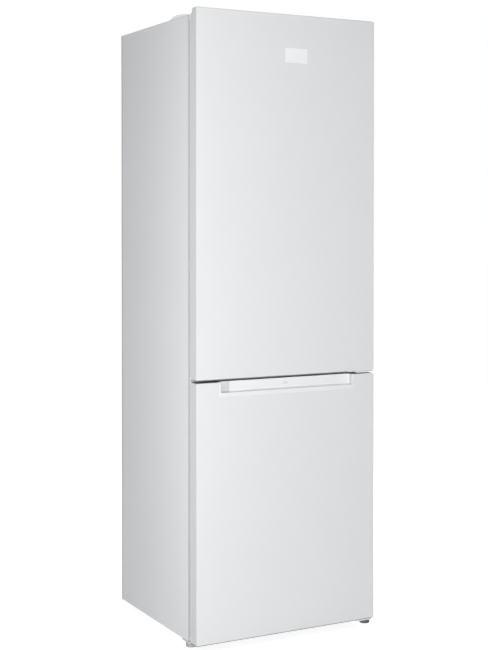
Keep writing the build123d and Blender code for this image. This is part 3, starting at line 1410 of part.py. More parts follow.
with BuildPart() as filter_drier:
    with BuildSketch(Plane(origin=(DRIER_X, drier_y, 0), x_dir=(1, 0, 0), z_dir=(0, -1, 0))):
        with BuildLine():
            drier_bottom = DRIER_TOP - DRIER_LENGTH
            Polyline(
                (0, drier_bottom - DRIER_NECK),
                (PIPE_RADIUS, drier_bottom - DRIER_NECK),
                (DRIER_RADIUS, drier_bottom),
                (DRIER_RADIUS, DRIER_TOP),
                (PIPE_RADIUS, drier_inlet),
                (0, drier_inlet),
                close=True,
            )
        make_face()
    revolve(axis=Axis((DRIER_X, drier_y, 0), (0, 0, 1)))
save(filter_drier, "filter_drier")

# Pipes: discharge to the riser, condenser to the drier, suction and capillary up into the foam
stub_end = COMPRESSOR_X - COMPRESSOR_LENGTH / 2 - STUB_LENGTH
discharge_y = compressor_y + STUB_SPREAD / 2
suction_y = compressor_y - STUB_SPREAD / 2
capillary_end = drier_bottom - DRIER_NECK
with BuildPart() as refrigerant_pipes:
    discharge = [
        (stub_end, discharge_y, stub_z),
        (riser_x, discharge_y, stub_z),
        (riser_x, condenser_y, stub_z),
        (riser_x, condenser_y, tube_foot),
    ]
    add(tube(discharge, RISER_BEND, TUBE_RADIUS).part)
    liquid = [
        (DRIER_X, condenser_y, tube_foot),
        (DRIER_X, condenser_y, drier_inlet + PIPE_RUN - RISER_BEND),
        (DRIER_X, drier_y, drier_inlet + PIPE_RUN),
        (DRIER_X, drier_y, drier_inlet),
    ]
    add(tube(liquid, PIPE_BEND, TUBE_RADIUS).part)
    suction = [
        (stub_end, suction_y, stub_z),
        (stub_end - PIPE_RUN, suction_y, stub_z),
        (stub_end - PIPE_RUN, suction_y, NICHE_TOP),
    ]
    add(tube(suction, PIPE_BEND, PIPE_RADIUS).part)
    capillary = [
        (DRIER_X, drier_y, capillary_end),
        (DRIER_X, drier_y, capillary_end - CAPILLARY_DROP),
        (DRIER_X + CAPILLARY_RUN, drier_y, capillary_end - CAPILLARY_DROP),
        (DRIER_X + CAPILLARY_RUN, drier_y, NICHE_TOP),
    ]
    add(tube(capillary, CAPILLARY_BEND, CAPILLARY_RADIUS).part)
save(refrigerant_pipes, "refrigerant_pipes")
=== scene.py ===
# %% [markdown]
# # A white fridge-freezer
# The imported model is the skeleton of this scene: every solid is already at its real size and
# place, in metres. What is left for Blender is how the surfaces look, and a few small pieces that
# are shapes of sheet, rubber or print more than of construction. The file is read from top to
# bottom, one step to a cell.

# %% Load the frame
import math

import bmesh
import bpy
from mathutils import Matrix, Vector


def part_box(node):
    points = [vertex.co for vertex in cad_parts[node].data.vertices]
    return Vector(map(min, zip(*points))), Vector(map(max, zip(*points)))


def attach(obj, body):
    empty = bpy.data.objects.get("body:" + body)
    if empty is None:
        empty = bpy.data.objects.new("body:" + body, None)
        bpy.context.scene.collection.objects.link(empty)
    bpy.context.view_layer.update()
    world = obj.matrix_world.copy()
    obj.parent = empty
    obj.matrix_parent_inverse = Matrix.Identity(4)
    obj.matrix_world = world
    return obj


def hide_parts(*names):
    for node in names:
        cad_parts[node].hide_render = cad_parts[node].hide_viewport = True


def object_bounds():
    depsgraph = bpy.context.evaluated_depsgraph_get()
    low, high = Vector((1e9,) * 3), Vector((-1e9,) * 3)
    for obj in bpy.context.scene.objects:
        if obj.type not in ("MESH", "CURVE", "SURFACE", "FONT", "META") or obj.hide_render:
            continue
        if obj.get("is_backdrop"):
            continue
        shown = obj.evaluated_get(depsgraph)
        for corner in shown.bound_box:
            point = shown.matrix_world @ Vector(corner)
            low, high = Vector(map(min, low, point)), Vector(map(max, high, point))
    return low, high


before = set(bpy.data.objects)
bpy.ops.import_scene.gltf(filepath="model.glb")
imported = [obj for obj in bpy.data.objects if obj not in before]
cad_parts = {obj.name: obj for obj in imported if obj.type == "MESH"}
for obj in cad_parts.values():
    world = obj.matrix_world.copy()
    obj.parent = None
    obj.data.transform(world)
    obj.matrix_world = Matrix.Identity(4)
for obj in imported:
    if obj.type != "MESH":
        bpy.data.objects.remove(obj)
cad_low, cad_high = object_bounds()
MM = 0.001

# %% [markdown]
# ## The camera
# The photograph was taken with the camera nearly level, a little above the middle of the machine,
# from the front left. A level camera keeps upright edges upright, so the picture is framed with
# the lens shift instead of a strong tilt. The lens and the place come from lining up the door's
# and the cabinet's edges with those of the photograph.

# %% Camera
IMAGE_HEIGHT = 650
FOCAL_PIXELS = 1316.5
AXIS_ROW = 244.3
CAMERA_TURN = math.radians(28.033)
CAMERA_TILT = math.radians(-0.9)
CAMERA_PLACE = Vector((-1.914, -3.320, 1.211))

scene = bpy.context.scene
upper_low, upper_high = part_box("fridge_door_panel")
door_front = upper_low.y
camera_data = bpy.data.cameras.new("photo_camera")
camera_data.lens = FOCAL_PIXELS / IMAGE_HEIGHT * camera_data.sensor_width
camera_data.shift_y = (AXIS_ROW - IMAGE_HEIGHT / 2) / IMAGE_HEIGHT
camera = bpy.data.objects.new("photo_camera", camera_data)
camera.location = CAMERA_PLACE + Vector((0, door_front, 0))
camera.rotation_euler = (math.pi / 2 + CAMERA_TILT, 0, -CAMERA_TURN)
scene.collection.objects.link(camera)
scene.camera = camera
print("lens", round(camera_data.lens, 2), "shift", round(camera_data.shift_y, 4))

# %% [markdown]
# ## Helpers for shader nodes
# Every look in this file is a tree of shader nodes: the room, the floor and each finish. Two short
# helpers keep those trees readable. One adds a node with its settings. The other takes a list of
# links, which then reads like the wires in the node editor. A third function is for the room and
# the floor, and tells rays that look at something from rays that carry light.

# %% Helpers for shader nodes
def add_node(tree, kind, values=None, **properties):
    """Add one shader node, with its properties and its unlinked sockets set."""
    node = tree.nodes.new("ShaderNode" + kind)
    for label, value in properties.items():
        setattr(node, label, value)
    for socket, value in (values or {}).items():
        node.inputs[socket].default_value = value
    return node


def join(tree, *links):
    """Make links, each given as (node, its output, node, its input)."""
    for source, output, target, socket in links:
        tree.links.new(source.outputs[output], target.inputs[socket])


def seen_directly(tree):
    """A node that gives 1 on camera, mirror and see-through rays, and 0 on rays that light."""
    path = add_node(tree, "LightPath")
    mirrored = add_node(tree, "Math", operation="MAXIMUM")
    seen = add_node(tree, "Math", operation="MAXIMUM")
    join(
        tree,
        (path, "Is Camera Ray", mirrored, 0),
        (path, "Is Glossy Ray", mirrored, 1),
        (mirrored, "Value", seen, 0),
        (path, "Is Transmission Ray", seen, 1),
    )
    return seen


print("helpers for nodes ready")

# %% [markdown]
# ## The studio
# White goods are shot in a white room: an even surround, a tall soft light far out at the front
# left, and two narrow strips. One strip slants across the doors, so that the left edge is the
# brightest and the handle's pocket gets a shadow at its left end, which the handle's plastic
# deepens with painted shade. The other lights the front of the side panel, which falls off towards
# the back. Two weaker ones, at the right and over the roof, leave the doors alone and light what
# the photograph doesn't show. The surround is white where it is seen, directly or in a reflection,
# and dimmer where it lights, so that white enamel still shows its shape.

# %% World
SURROUND_LIGHT = 0.175
SURROUND_TINT = (0.95, 0.97, 1.0, 1.0)
WHITE = (1.0, 1.0, 1.0, 1.0)

world = bpy.data.worlds.new("white_room")
world.use_nodes = True
world_tree = world.node_tree
room_light = world_tree.nodes["Background"]
room_light.inputs["Color"].default_value = SURROUND_TINT
room_light.inputs["Strength"].default_value = SURROUND_LIGHT
room_white = add_node(world_tree, "Background", {"Color": WHITE})
room_mix = add_node(world_tree, "MixShader")
join(
    world_tree,
    (seen_directly(world_tree), "Value", room_mix, "Fac"),
    (room_light, "Background", room_mix, 1),
    (room_white, "Background", room_mix, 2),
    (room_mix, "Shader", world_tree.nodes["World Output"], "Surface"),
)
scene.world = world
scene.view_settings.view_transform = "Standard"
print("room lights with", SURROUND_LIGHT)

# %% Lamps
# Name, power in watts, place, point it is aimed at, width, height
LAMPS = (
    ("tall_softbox", 179.0, (-2.4, -4.4, 0.95), (-0.1, -0.28, 0.95), 1.0, 2.7),
    ("slanting_strip", 28.0, (-2.4, -2.04, 0.7), (-0.22, -0.283, 0.7), 0.28, 2.7),
    ("side_strip", 1.62, (-0.7, -0.4, 0.75), (-0.2975, -0.2, 0.75), 0.3, 2.3),
    ("right_softbox", 44.0, (3.2, 0.9, 1.0), (0.3, 0.0, 1.0), 1.0, 2.0),
    ("roof_softbox", 15.0, (0.0, 0.4, 3.4), (0.0, 0.4, 0.0), 1.2, 1.2),
)

for name, power, stand, aim, width, height in LAMPS:
    lamp_data = bpy.data.lights.new(name, "AREA")
    lamp_data.shape = "RECTANGLE"
    lamp_data.size = width
    lamp_data.size_y = height
    lamp_data.energy = power
    lamp = bpy.data.objects.new(name, lamp_data)
    lamp.location = stand
    lamp.rotation_euler = (Vector(aim) - Vector(stand)).to_track_quat("-Z", "Y").to_euler()
    lamp.visible_camera = False
    scene.collection.objects.link(lamp)
    print("lamp", name, power, "W at", stand)

# %% [markdown]
# ## The floor
# A floor that is merely painted white renders grey, because no more light falls on it than on the
# machine. Here it shines a little by itself where it is looked at, and keeps a share of matt white
# that takes the machine's shadow. The glow grows away from the machine, so that the floor runs
# into the white of the room without an edge.

# %% Finish of the floor
FLOOR_COLOUR = (0.94, 0.94, 0.94, 1.0)
FLOOR_SHADE = (0.3, 0.3, 0.3, 1.0)
# Distances from the middle, and how much the floor shines there
FLOOR_GLOW = {"From Min": 0.45, "From Max": 1.1, "To Min": 0.86, "To Max": 0.96}

pale_floor = bpy.data.materials.new("pale_floor")
pale_floor.use_nodes = True
floor_tree = pale_floor.node_tree
floor_tree.nodes.remove(floor_tree.nodes["Principled BSDF"])
floor_matt = add_node(floor_tree, "BsdfDiffuse", {"Color": FLOOR_COLOUR})
floor_shade = add_node(floor_tree, "BsdfDiffuse", {"Color": FLOOR_SHADE})
floor_glow = add_node(floor_tree, "Emission")
floor_place = add_node(floor_tree, "TexCoord")
floor_away = add_node(floor_tree, "VectorMath", operation="LENGTH")
floor_rise = add_node(floor_tree, "MapRange", FLOOR_GLOW)
floor_sum = add_node(floor_tree, "AddShader")
floor_mix = add_node(floor_tree, "MixShader")
join(
    floor_tree,
    (floor_place, "Object", floor_away, 0),
    (floor_away, "Value", floor_rise, "Value"),
    (floor_rise, "Result", floor_glow, "Strength"),
    (floor_shade, "BSDF", floor_sum, 0),
    (floor_glow, "Emission", floor_sum, 1),
    (seen_directly(floor_tree), "Value", floor_mix, "Fac"),
    (floor_matt, "BSDF", floor_mix, 1),
    (floor_sum, "Shader", floor_mix, 2),
    (floor_mix, "Shader", floor_tree.nodes["Material Output"], "Surface"),
)
print("floor shines from", FLOOR_GLOW["To Min"], "to", FLOOR_GLOW["To Max"])

# %% Floor
FLOOR_REACH = 30.0


def dressed_object(name, shape, finish):
    """Turn a bmesh into an object at the origin that wears a finish."""
    mesh = bpy.data.meshes.new(name)
    shape.to_mesh(mesh)
    shape.free()
    mesh.materials.append(finish)
    made = bpy.data.objects.new(name, mesh)
    scene.collection.objects.link(made)
    return made


floor_shape = bmesh.new()
bmesh.ops.create_grid(floor_shape, x_segments=1, y_segments=1, size=FLOOR_REACH)
floor = dressed_object("floor", floor_shape, pale_floor)
floor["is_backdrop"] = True
print("floor", 2 * FLOOR_REACH, "m across")

# %% [markdown]
# ## Effects that several finishes share
# Real surfaces are never one flat colour: enamel has a fine ripple from the spray gun, moulded
# plastic a spark-eroded grain, zinc its crystals, and what stands behind the machine gathers dust.
# Pictures of such surfaces would need an unwrapped mesh. Noise in Object coordinates doesn't, has
# its true scale on every solid, and moves with it. Each such effect is made once, as a node group
# with its own inputs, and every finish that needs it places the group with other values.

# %% Helpers for node groups
FLOAT = "NodeSocketFloat"
VECTOR = "NodeSocketVector"


def new_group(name, inputs, outputs):
    """A shader node group with number inputs and the given outputs, and its two end nodes."""
    group = bpy.data.node_groups.new(name, "ShaderNodeTree")
    for label, value in inputs.items():
        socket = group.interface.new_socket(name=label, in_out="INPUT", socket_type=FLOAT)
        socket.default_value = value
    for label, kind in outputs.items():
        group.interface.new_socket(name=label, in_out="OUTPUT", socket_type=kind)
    return group, group.nodes.new("NodeGroupInput"), group.nodes.new("NodeGroupOutput")


def add_group(tree, group, values):
    """Place a node group in a material, with its own values."""
    return add_node(tree, "Group", values, node_tree=group)


print("helpers for groups ready")

# %% Groups: ripple of sprayed enamel, and grain of a moulded surface
def surface_group(name, fine_kind, fine_values, fine_output, slow_values):
    """A group with a fine height, and a shade that slowly drifts between full and a little less."""
    inputs = {"Scale": 500.0, "Drift": 0.02}
    group, entry, end = new_group(name, inputs, {"Height": FLOAT, "Shade": FLOAT})
    place = add_node(group, "TexCoord")
    fine = add_node(group, fine_kind, fine_values)
    slow = add_node(group, "TexNoise", slow_values)
    darkest = add_node(group, "Math", {0: 1.0}, operation="SUBTRACT")
    shade = add_node(group, "MapRange", {"From Min": 0.3, "From Max": 0.7, "To Max": 1.0})
    join(
        group,
        (place, "Object", fine, "Vector"),
        (place, "Object", slow, "Vector"),
        (entry, "Scale", fine, "Scale"),
        (entry, "Drift", darkest, 1),
        (slow, "Fac", shade, "Value"),
        (darkest, "Value", shade, "To Min"),
        (fine, fine_output, end, "Height"),
        (shade, "Result", end, "Shade"),
    )
    print("group", name)
    return group


ripple_group = surface_group(
    "sprayed_ripple", "TexNoise", {"Detail": 2.0, "Roughness": 0.5}, "Fac",
    {"Scale": 2.3, "Detail": 3.0, "Roughness": 0.6},
)
grain_group = surface_group(
    "moulded_grain", "TexVoronoi", {"Randomness": 1.0}, "Distance",
    {"Scale": 9.0, "Detail": 4.0, "Roughness": 0.65},
)

# %% Group: softened and worn edges
edge_group, entry, end = new_group(
    "softened_edge", {"Radius": 0.5 * MM, "Wear": 0.5}, {"Normal": VECTOR, "Edge": FLOAT}
)
rounded = add_node(edge_group, "Bevel", samples=4)
true_face = add_node(edge_group, "NewGeometry")
agree = add_node(edge_group, "VectorMath", operation="DOT_PRODUCT")
bend = add_node(edge_group, "MapRange", {"From Min": 0.995, "From Max": 0.8})
place = add_node(edge_group, "TexCoord")
chips = add_node(edge_group, "TexNoise", {"Scale": 120.0, "Detail": 3.0})
chance = add_node(edge_group, "MapRange", {"From Min": 0.4, "From Max": 0.65})
worn = add_node(edge_group, "Math", operation="MULTIPLY")
share = add_node(edge_group, "Math", operation="MULTIPLY")
join(
    edge_group,
    (entry, "Radius", rounded, "Radius"),
    (rounded, "Normal", agree, 0),
    (true_face, "Normal", agree, 1),
    (agree, "Value", bend, "Value"),
    (place, "Object", chips, "Vector"),
    (chips, "Fac", chance, "Value"),
    (bend, "Result", worn, 0),
    (chance, "Result", worn, 1),
    (worn, "Value", share, 0),
    (entry, "Wear", share, 1),
    (rounded, "Normal", end, "Normal"),
    (share, "Value", end, "Edge"),
)
print("group", edge_group.name)

# %% Group: dust that settles on what faces up
dust_group, entry, end = new_group("settled_dust", {"Amount": 0.5}, {"Dust": FLOAT})
true_face = add_node(dust_group, "NewGeometry")
parts = add_node(dust_group, "SeparateXYZ")
upward = add_node(dust_group, "MapRange", {"From Min": 0.1, "From Max": 0.95})
place = add_node(dust_group, "TexCoord")
drift = add_node(dust_group, "TexNoise", {"Scale": 28.0, "Detail": 6.0, "Roughness": 0.7})
patches = add_node(dust_group, "MapRange", {"From Min": 0.3, "From Max": 0.7, "To Min": 0.35})
film = add_node(dust_group, "Math", operation="MULTIPLY")
amount = add_node(dust_group, "Math", operation="MULTIPLY", use_clamp=True)
join(
    dust_group,
    (true_face, "Normal", parts, "Vector"),
    (parts, "Z", upward, "Value"),
    (place, "Object", drift, "Vector"),
    (drift, "Fac", patches, "Value"),
    (upward, "Result", film, 0),
    (patches, "Result", film, 1),
    (film, "Value", amount, 0),
    (entry, "Amount", amount, 1),
    (amount, "Value", end, "Dust"),
)
print("group", dust_group.name)

# %% [markdown]
# ## The rim of a sheet
# Where a steel sheet bends away or ends, its enamel gets painted shade, a little darker, where the
# sheet would turn from the light. The next group finds that rim from the place on the piece, as the
# share of the way to the nearest of seven limits. It reads Object coordinates, so the rim stays on
# the door when the door swings. A limit that is left at its far default does nothing, and where
# the results of several such groups are multiplied, they mark the place where all of them meet.

# %% Group: rim of a sheet
FAR = 9.0
RIM_INPUTS = {
    "Low": -FAR, "High": FAR, "Front": -FAR, "Rear": FAR, "Side": FAR, "Left": -FAR, "Right": FAR,
    "Narrow": 2.0 * MM, "Wide": 7.0 * MM,
}

rim_group, entry, end = new_group("sheet_rim", RIM_INPUTS, {"Rim": FLOAT})
place = add_node(rim_group, "TexCoord")
axes = add_node(rim_group, "SeparateXYZ")
across = add_node(rim_group, "Math", operation="ABSOLUTE")
nearest = add_node(rim_group, "Math", {0: 1.0, 1: 1.0}, operation="MINIMUM")
rim = add_node(rim_group, "MapRange", {"To Min": 1.0, "To Max": 0.0})
join(rim_group, (place, "Object", axes, "Vector"), (axes, "X", across, 0))
# Limit, width of its rim, node and output that the limit is for, and the socket that takes this
# output. The limit itself goes into the other socket.
RIM_LIMITS = (
    ("Low", "Narrow", axes, "Z", 0),
    ("High", "Narrow", axes, "Z", 1),
    ("Front", "Narrow", axes, "Y", 0),
    ("Rear", "Wide", axes, "Y", 1),
    ("Side", "Narrow", across, "Value", 1),
    ("Left", "Narrow", axes, "X", 0),
    ("Right", "Narrow", axes, "X", 1),
)
for limit, width, source, output, value_socket in RIM_LIMITS:
    gap = add_node(rim_group, "Math", operation="SUBTRACT")
    share = add_node(rim_group, "Math", operation="DIVIDE")
    least = add_node(rim_group, "Math", operation="MINIMUM")
    join(
        rim_group,
        (source, output, gap, value_socket),
        (entry, limit, gap, 1 - value_socket),
        (gap, "Value", share, 0),
        (entry, width, share, 1),
        (nearest, "Value", least, 0),
        (share, "Value", least, 1),
    )
    nearest = least
join(rim_group, (nearest, "Value", rim, "Value"), (rim, "Result", end, "Rim"))
print("group", rim_group.name, "with", len(RIM_LIMITS), "limits")

# %% [markdown]
# ## Finishes
# A finish is one material. Each function below builds one kind of finish, from its colour and a
# few sizes, around a Principled shader. What is the same all over is set on the shader itself, and
# only what changes over the surface is linked to it.

# %% Base of every finish
def blank_finish(name, constants):
    """A material with a Principled shader, and the numbers that are the same all over."""
    material = bpy.data.materials.new(name)
    material.use_nodes = True
    shader = material.node_tree.nodes["Principled BSDF"]
    for socket, value in constants.items():
        shader.inputs[socket].default_value = value
    return material, material.node_tree, shader


print("base of the finishes ready")

# %% Rims and relief
def shade_rims(tree, tone, shader, rims):
    """Paint shade or light into a colour at rims, darker or lighter. A rim is (its tone, limits
    that all have to meet).
    """
    for rim_tone, *bands in rims:
        shaded = add_node(tree, "HueSaturation", {"Value": rim_tone})
        share = add_node(tree, "Math", {0: 1.0, 1: 1.0}, operation="MULTIPLY")
        for limits in bands:
            band = add_group(tree, rim_group, limits)
            meeting = add_node(tree, "Math", operation="MULTIPLY")
            join(tree, (share, "Value", meeting, 0), (band, "Rim", meeting, 1))
            share = meeting
        join(
            tree,
            (share, "Value", shaded, "Fac"),
            (tone, "Color", shaded, "Color"),
            (shaded, "Color", shader, "Base Color"),
        )
        tone = shaded


def relief(tree, surface, edge, shader, depth):
    """Give the shader the relief of a surface, with its depth in metres, over softened edges."""
    bump = add_node(tree, "Bump", {"Distance": depth, "Strength": 1.0})
    join(
        tree,
        (surface, "Height", bump, "Height"),
        (edge, "Normal", bump, "Normal"),
        (bump, "Normal", shader, "Normal"),
    )


print("rims and relief ready")

# %% Finish with a texture
def textured_finish(name, colour, group, constants, rims=(), *, scale, drift, depth, edge):
    """A finish with the shade and relief of a surface group, rounded edges, and rims of painted
    shade or light.
    """
    material, tree, shader = blank_finish(name, constants)
    surface = add_group(tree, group, {"Scale": scale, "Drift": drift})
    softened = add_group(tree, edge_group, {"Radius": edge, "Wear": 0.0})
    tone = add_node(tree, "HueSaturation", {"Color": (*colour, 1.0)})
    join(tree, (surface, "Shade", tone, "Value"), (tone, "Color", shader, "Base Color"))
    shade_rims(tree, tone, shader, rims)
    relief(tree, surface, softened, shader, depth)
    return material


print("textured finish ready")

# %% [markdown]
# ## Enamel
# The cabinet and the doors are steel sheet with white sprayed enamel. The doors are a little
# whiter and smoother than the cabinet's side. Their rims are painted shade that makes the edges
# read: the side returns and the top are darkened as if turned a little from the light, and the
# bottom as if it turned into the dark gap, up to the hinge's arm, which gets a whiter enamel as
# painted light. One function makes all of it, so that these pieces differ only in colour, ripple
# and rims.

# %% Enamel of the doors
ENAMEL_GLOSS = 0.15
ENAMEL_DRIFT = 0.012
ENAMEL_EDGE = 0.4 * MM
DOOR_WHITE = (0.71, 0.715, 0.724)
# Painted shade: a door is darkened at its side returns and top, where it turns from the light, and
# strongly along its bottom, as the shadow line of the gap.
RETURN_SHADE = 0.83
RETURN_WIDTH = 2.2 * MM
TOP_SHADE = 0.7
TOP_WIDTH = 2.5 * MM
BOTTOM_SHADE = 0.3
BOTTOM_HEIGHT = 1.3 * MM
BOTTOM_WIDTH = 1.2 * MM
ARM_FADE = 2.0 * MM


def enamel(name, colour, *rims, ripple, depth, roughness):
    """Sprayed and baked enamel on sheet steel."""
    constants = {"Roughness": roughness, "Specular IOR Level": ENAMEL_GLOSS}
    return textured_finish(
        name, colour, ripple_group, constants, rims,
        scale=ripple, drift=ENAMEL_DRIFT, depth=depth, edge=ENAMEL_EDGE,
    )


def door_enamel(name, panel, bottom_end):
    """The enamel of a door, with painted shade at its side returns, its top, and its bottom up to
    some end.
    """
    low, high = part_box(panel)
    returns = {"Side": high.x, "Narrow": RETURN_WIDTH}
    top = {"High": high.z, "Narrow": TOP_WIDTH}
    bottom = {"Low": low.z + BOTTOM_HEIGHT, "Narrow": BOTTOM_WIDTH}
    up_to_end = {"Left": bottom_end - ARM_FADE, "Narrow": ARM_FADE}
    return enamel(
        name, DOOR_WHITE,
        (RETURN_SHADE, returns), (TOP_SHADE, top), (BOTTOM_SHADE, bottom, up_to_end),
        ripple=260.0, depth=0.02 * MM, roughness=0.5,
    )


arm_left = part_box("middle_hinge")[0].x
upper_door_enamel = door_enamel("upper_door_enamel", "fridge_door_panel", arm_left)
lower_door_enamel = door_enamel("lower_door_enamel", "freezer_door_panel", upper_high.x)
print("enamel of the doors made")

# %% Enamel of the cabinet
SIDE_WHITE = (0.70, 0.705, 0.718)
# Painted light: the hinge arm's enamel is whiter than the rest, so that the arm looks lit in the
# shaded gap between the doors.
BRIGHTENED_ARM_WHITE = (0.9, 0.905, 0.91)
# Painted shade: the side panel is darkened at its top and bottom ends, along its rear hem and at
# its front bend by the seam, where the sheet turns from the light.
END_SHADE = 0.75
END_WIDTH = 2.5 * MM
EDGE_SHADE = 0.4
HEM_WIDTH = 12.0 * MM
BEND_DEPTH = 2.2 * MM
BEND_WIDTH = 7.0 * MM
OUTER_SKIN = 1.5 * MM

side_low, side_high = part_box("left_side_panel")
side_ends = {"Low": side_low.z, "High": side_high.z, "Narrow": END_WIDTH}
side_hem = {"Rear": side_high.y, "Wide": HEM_WIDTH}
side_bend = {"Front": side_low.y, "Narrow": BEND_DEPTH}
bend_edge = {"Side": -side_low.x, "Narrow": BEND_WIDTH}
outer_face = {"Side": -side_low.x, "Narrow": OUTER_SKIN}
side_enamel = enamel(
    "side_enamel", SIDE_WHITE,
    (END_SHADE, side_ends), (EDGE_SHADE, side_hem, outer_face), (EDGE_SHADE, side_bend, bend_edge),
    ripple=420.0, depth=0.05 * MM, roughness=0.6,
)
plain_enamel = enamel("plain_enamel", SIDE_WHITE, ripple=420.0, depth=0.05 * MM, roughness=0.5)
brightened_arm_enamel = enamel("brightened_arm_enamel", BRIGHTENED_ARM_WHITE, ripple=420.0, depth=0.05 * MM, roughness=0.5)
print("enamel of the cabinet made")

# %% [markdown]
# ## Moulded plastic and rubber
# Plastics differ in colour, in the fineness of their grain and in gloss. The handle insert gets
# rims of painted shade and light as well: the end walls of its pocket are painted darker, the lit
# front border is painted a shade below the pocket, the left end of the back wall carries a painted
# shadow, and the foot of that wall a painted light, as where a white lip throws light back at it.
# Faces of the solid could get finishes of their own instead, but rims fade softly and leave the
# solid as it is.

# %% Moulded plastic
PLASTIC_DRIFT = 0.03
PLASTIC_EDGE = 0.6 * MM
PLASTIC_GLOSS = 0.5
DULL_GLOSS = 0.12


def moulded(name, colour, *rims, grain, depth, roughness, gloss=PLASTIC_GLOSS):
    """Injection-moulded plastic with a fine eroded grain and soft edges."""
    constants = {"Roughness": roughness, "Specular IOR Level": gloss}
    return textured_finish(
        name, colour, grain_group, constants, rims,
        scale=grain, drift=PLASTIC_DRIFT, depth=depth, edge=PLASTIC_EDGE,
    )


plug_plastic = moulded(
    "plug_plastic", (0.75, 0.752, 0.76),
    grain=1600.0, depth=0.006 * MM, roughness=0.45, gloss=DULL_GLOSS,
)
plate_plastic = moulded(
    "plate_plastic", (0.845, 0.847, 0.851),
    grain=1600.0, depth=0.006 * MM, roughness=0.5, gloss=DULL_GLOSS,
)
print("plastic of the plug and the plate made")

# %% Plastic of the handle
POCKET_DROP = 30.0 * MM
POCKET_HALF_WIDTH = 219.5 * MM
POCKET_START = 1.5 * MM
# Painted shade and light in the handle's pocket: darker end walls, a darker front border, a painted
# shadow at the left end of the back wall, and painted light at the foot of that wall.
POCKET_END_SHADE = 0.785
BORDER_SHADE = 0.92
BORDER_DEPTH = 0.6 * MM
SHADE_TONE = 0.8
SHADE_END = -185.0 * MM
SHADE_START = -191.0 * MM
SHADE_RISE = 19.0 * MM
FOOT_LIGHT = 1.12
FOOT_HEIGHT = 4.0 * MM
FOOT_FADE = 5.0 * MM

lower_low, lower_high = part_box("freezer_door_panel")
lip_top = lower_high.z - POCKET_DROP
behind_front = {"Rear": door_front + POCKET_START, "Wide": 1.0 * MM}
pocket_ends = {"Side": POCKET_HALF_WIDTH, "Narrow": 0.5 * MM}
border = {"Front": door_front + BORDER_DEPTH, "Narrow": 0.8 * MM}
shade_end = {"Left": SHADE_END, "Narrow": 1.5 * MM}
shade_start = {"Right": SHADE_START, "Narrow": SHADE_RISE}
wall_foot = {"Low": lip_top + FOOT_HEIGHT, "Narrow": FOOT_FADE}
handle_plastic = moulded(
    "handle_plastic", (0.84, 0.842, 0.846),
    (POCKET_END_SHADE, pocket_ends, behind_front),
    (BORDER_SHADE, border),
    (SHADE_TONE, shade_end, shade_start, behind_front),
    (FOOT_LIGHT, wall_foot, behind_front),
    grain=1600.0, depth=0.006 * MM, roughness=0.45, gloss=DULL_GLOSS,
)
print("plastic of the handle made")

# %% Other plastics and rubber
cap_plastic = moulded(
    "cap_plastic", (0.82, 0.825, 0.83), grain=1400.0, depth=0.01 * MM, roughness=0.45
)
# Painted shade: the end caps that face the gap between the doors are dark grey, standing in for the
# shade in that gap.
gap_shade_plastic = moulded(
    "gap_shade_plastic", (0.19, 0.19, 0.2), grain=1400.0, depth=0.01 * MM, roughness=0.5
)
liner_plastic = moulded(
    "liner_plastic", (0.72, 0.728, 0.737), grain=500.0, depth=0.008 * MM, roughness=0.28
)
grey_plastic = moulded(
    "grey_plastic", (0.5, 0.51, 0.535), grain=1200.0, depth=0.02 * MM, roughness=0.5
)
foot_plastic = moulded(
    "foot_plastic", (0.33, 0.335, 0.345), grain=1200.0, depth=0.02 * MM, roughness=0.5
)
dark_plastic = moulded(
    "dark_plastic", (0.075, 0.075, 0.08), grain=1200.0, depth=0.02 * MM, roughness=0.5
)
seal_rubber = moulded(
    "seal_rubber", (0.33, 0.335, 0.35), grain=1800.0, depth=0.01 * MM, roughness=0.55
)
black_rubber = moulded(
    "black_rubber", (0.03, 0.03, 0.032), grain=1500.0, depth=0.02 * MM, roughness=0.75
)
print("plastic and rubber made")

# %% [markdown]
# ## Clear plastic and glass
# Drawers and bins are clear plastic, which lets less through where it is looked at along its wall.
# Light that bends at each of their many thin walls would be slow to render and come out dark, so
# they are partly covering instead. Layer Weight gives the angle, and a Map Range turns it into the
# cover. The shelves are real glass: the light goes through the shader itself, with a faint green
# body.

# %% Clear plastic, glass and the lamp's lens
def clear_moulded(name, colour, *, thin, thick, roughness):
    """See-through plastic, clearer where it is looked at squarely than at its curved edges."""
    material = textured_finish(
        name, colour, grain_group, {"Roughness": roughness, "IOR": 1.5},
        scale=700.0, drift=0.05, depth=0.01 * MM, edge=0.5 * MM,
    )
    tree = material.node_tree
    facing = add_node(tree, "LayerWeight", {"Blend": 0.35})
    cover = add_node(tree, "MapRange", {"To Min": thin, "To Max": thick})
    join(
        tree,
        (facing, "Facing", cover, "Value"),
        (cover, "Result", tree.nodes["Principled BSDF"], "Alpha"),
    )
    return material


drawer_plastic = clear_moulded(
    "drawer_plastic", (0.80, 0.86, 0.90), thin=0.42, thick=0.85, roughness=0.22
)
bin_plastic = clear_moulded(
    "bin_plastic", (0.86, 0.89, 0.91), thin=0.38, thick=0.85, roughness=0.15
)
lamp_lens = clear_moulded(
    "lamp_lens", (0.93, 0.92, 0.88), thin=0.72, thick=0.95, roughness=0.35
)
bulb_glass = clear_moulded(
    "bulb_glass", (0.95, 0.93, 0.86), thin=0.8, thick=0.95, roughness=0.25
)
shelf_glass = textured_finish(
    "shelf_glass", (0.86, 0.95, 0.92), ripple_group,
    {"Roughness": 0.02, "IOR": 1.5, "Transmission Weight": 1.0},
    scale=14.0, drift=0.04, depth=0.02 * MM, edge=0.5 * MM,
)
print("clear finishes made")

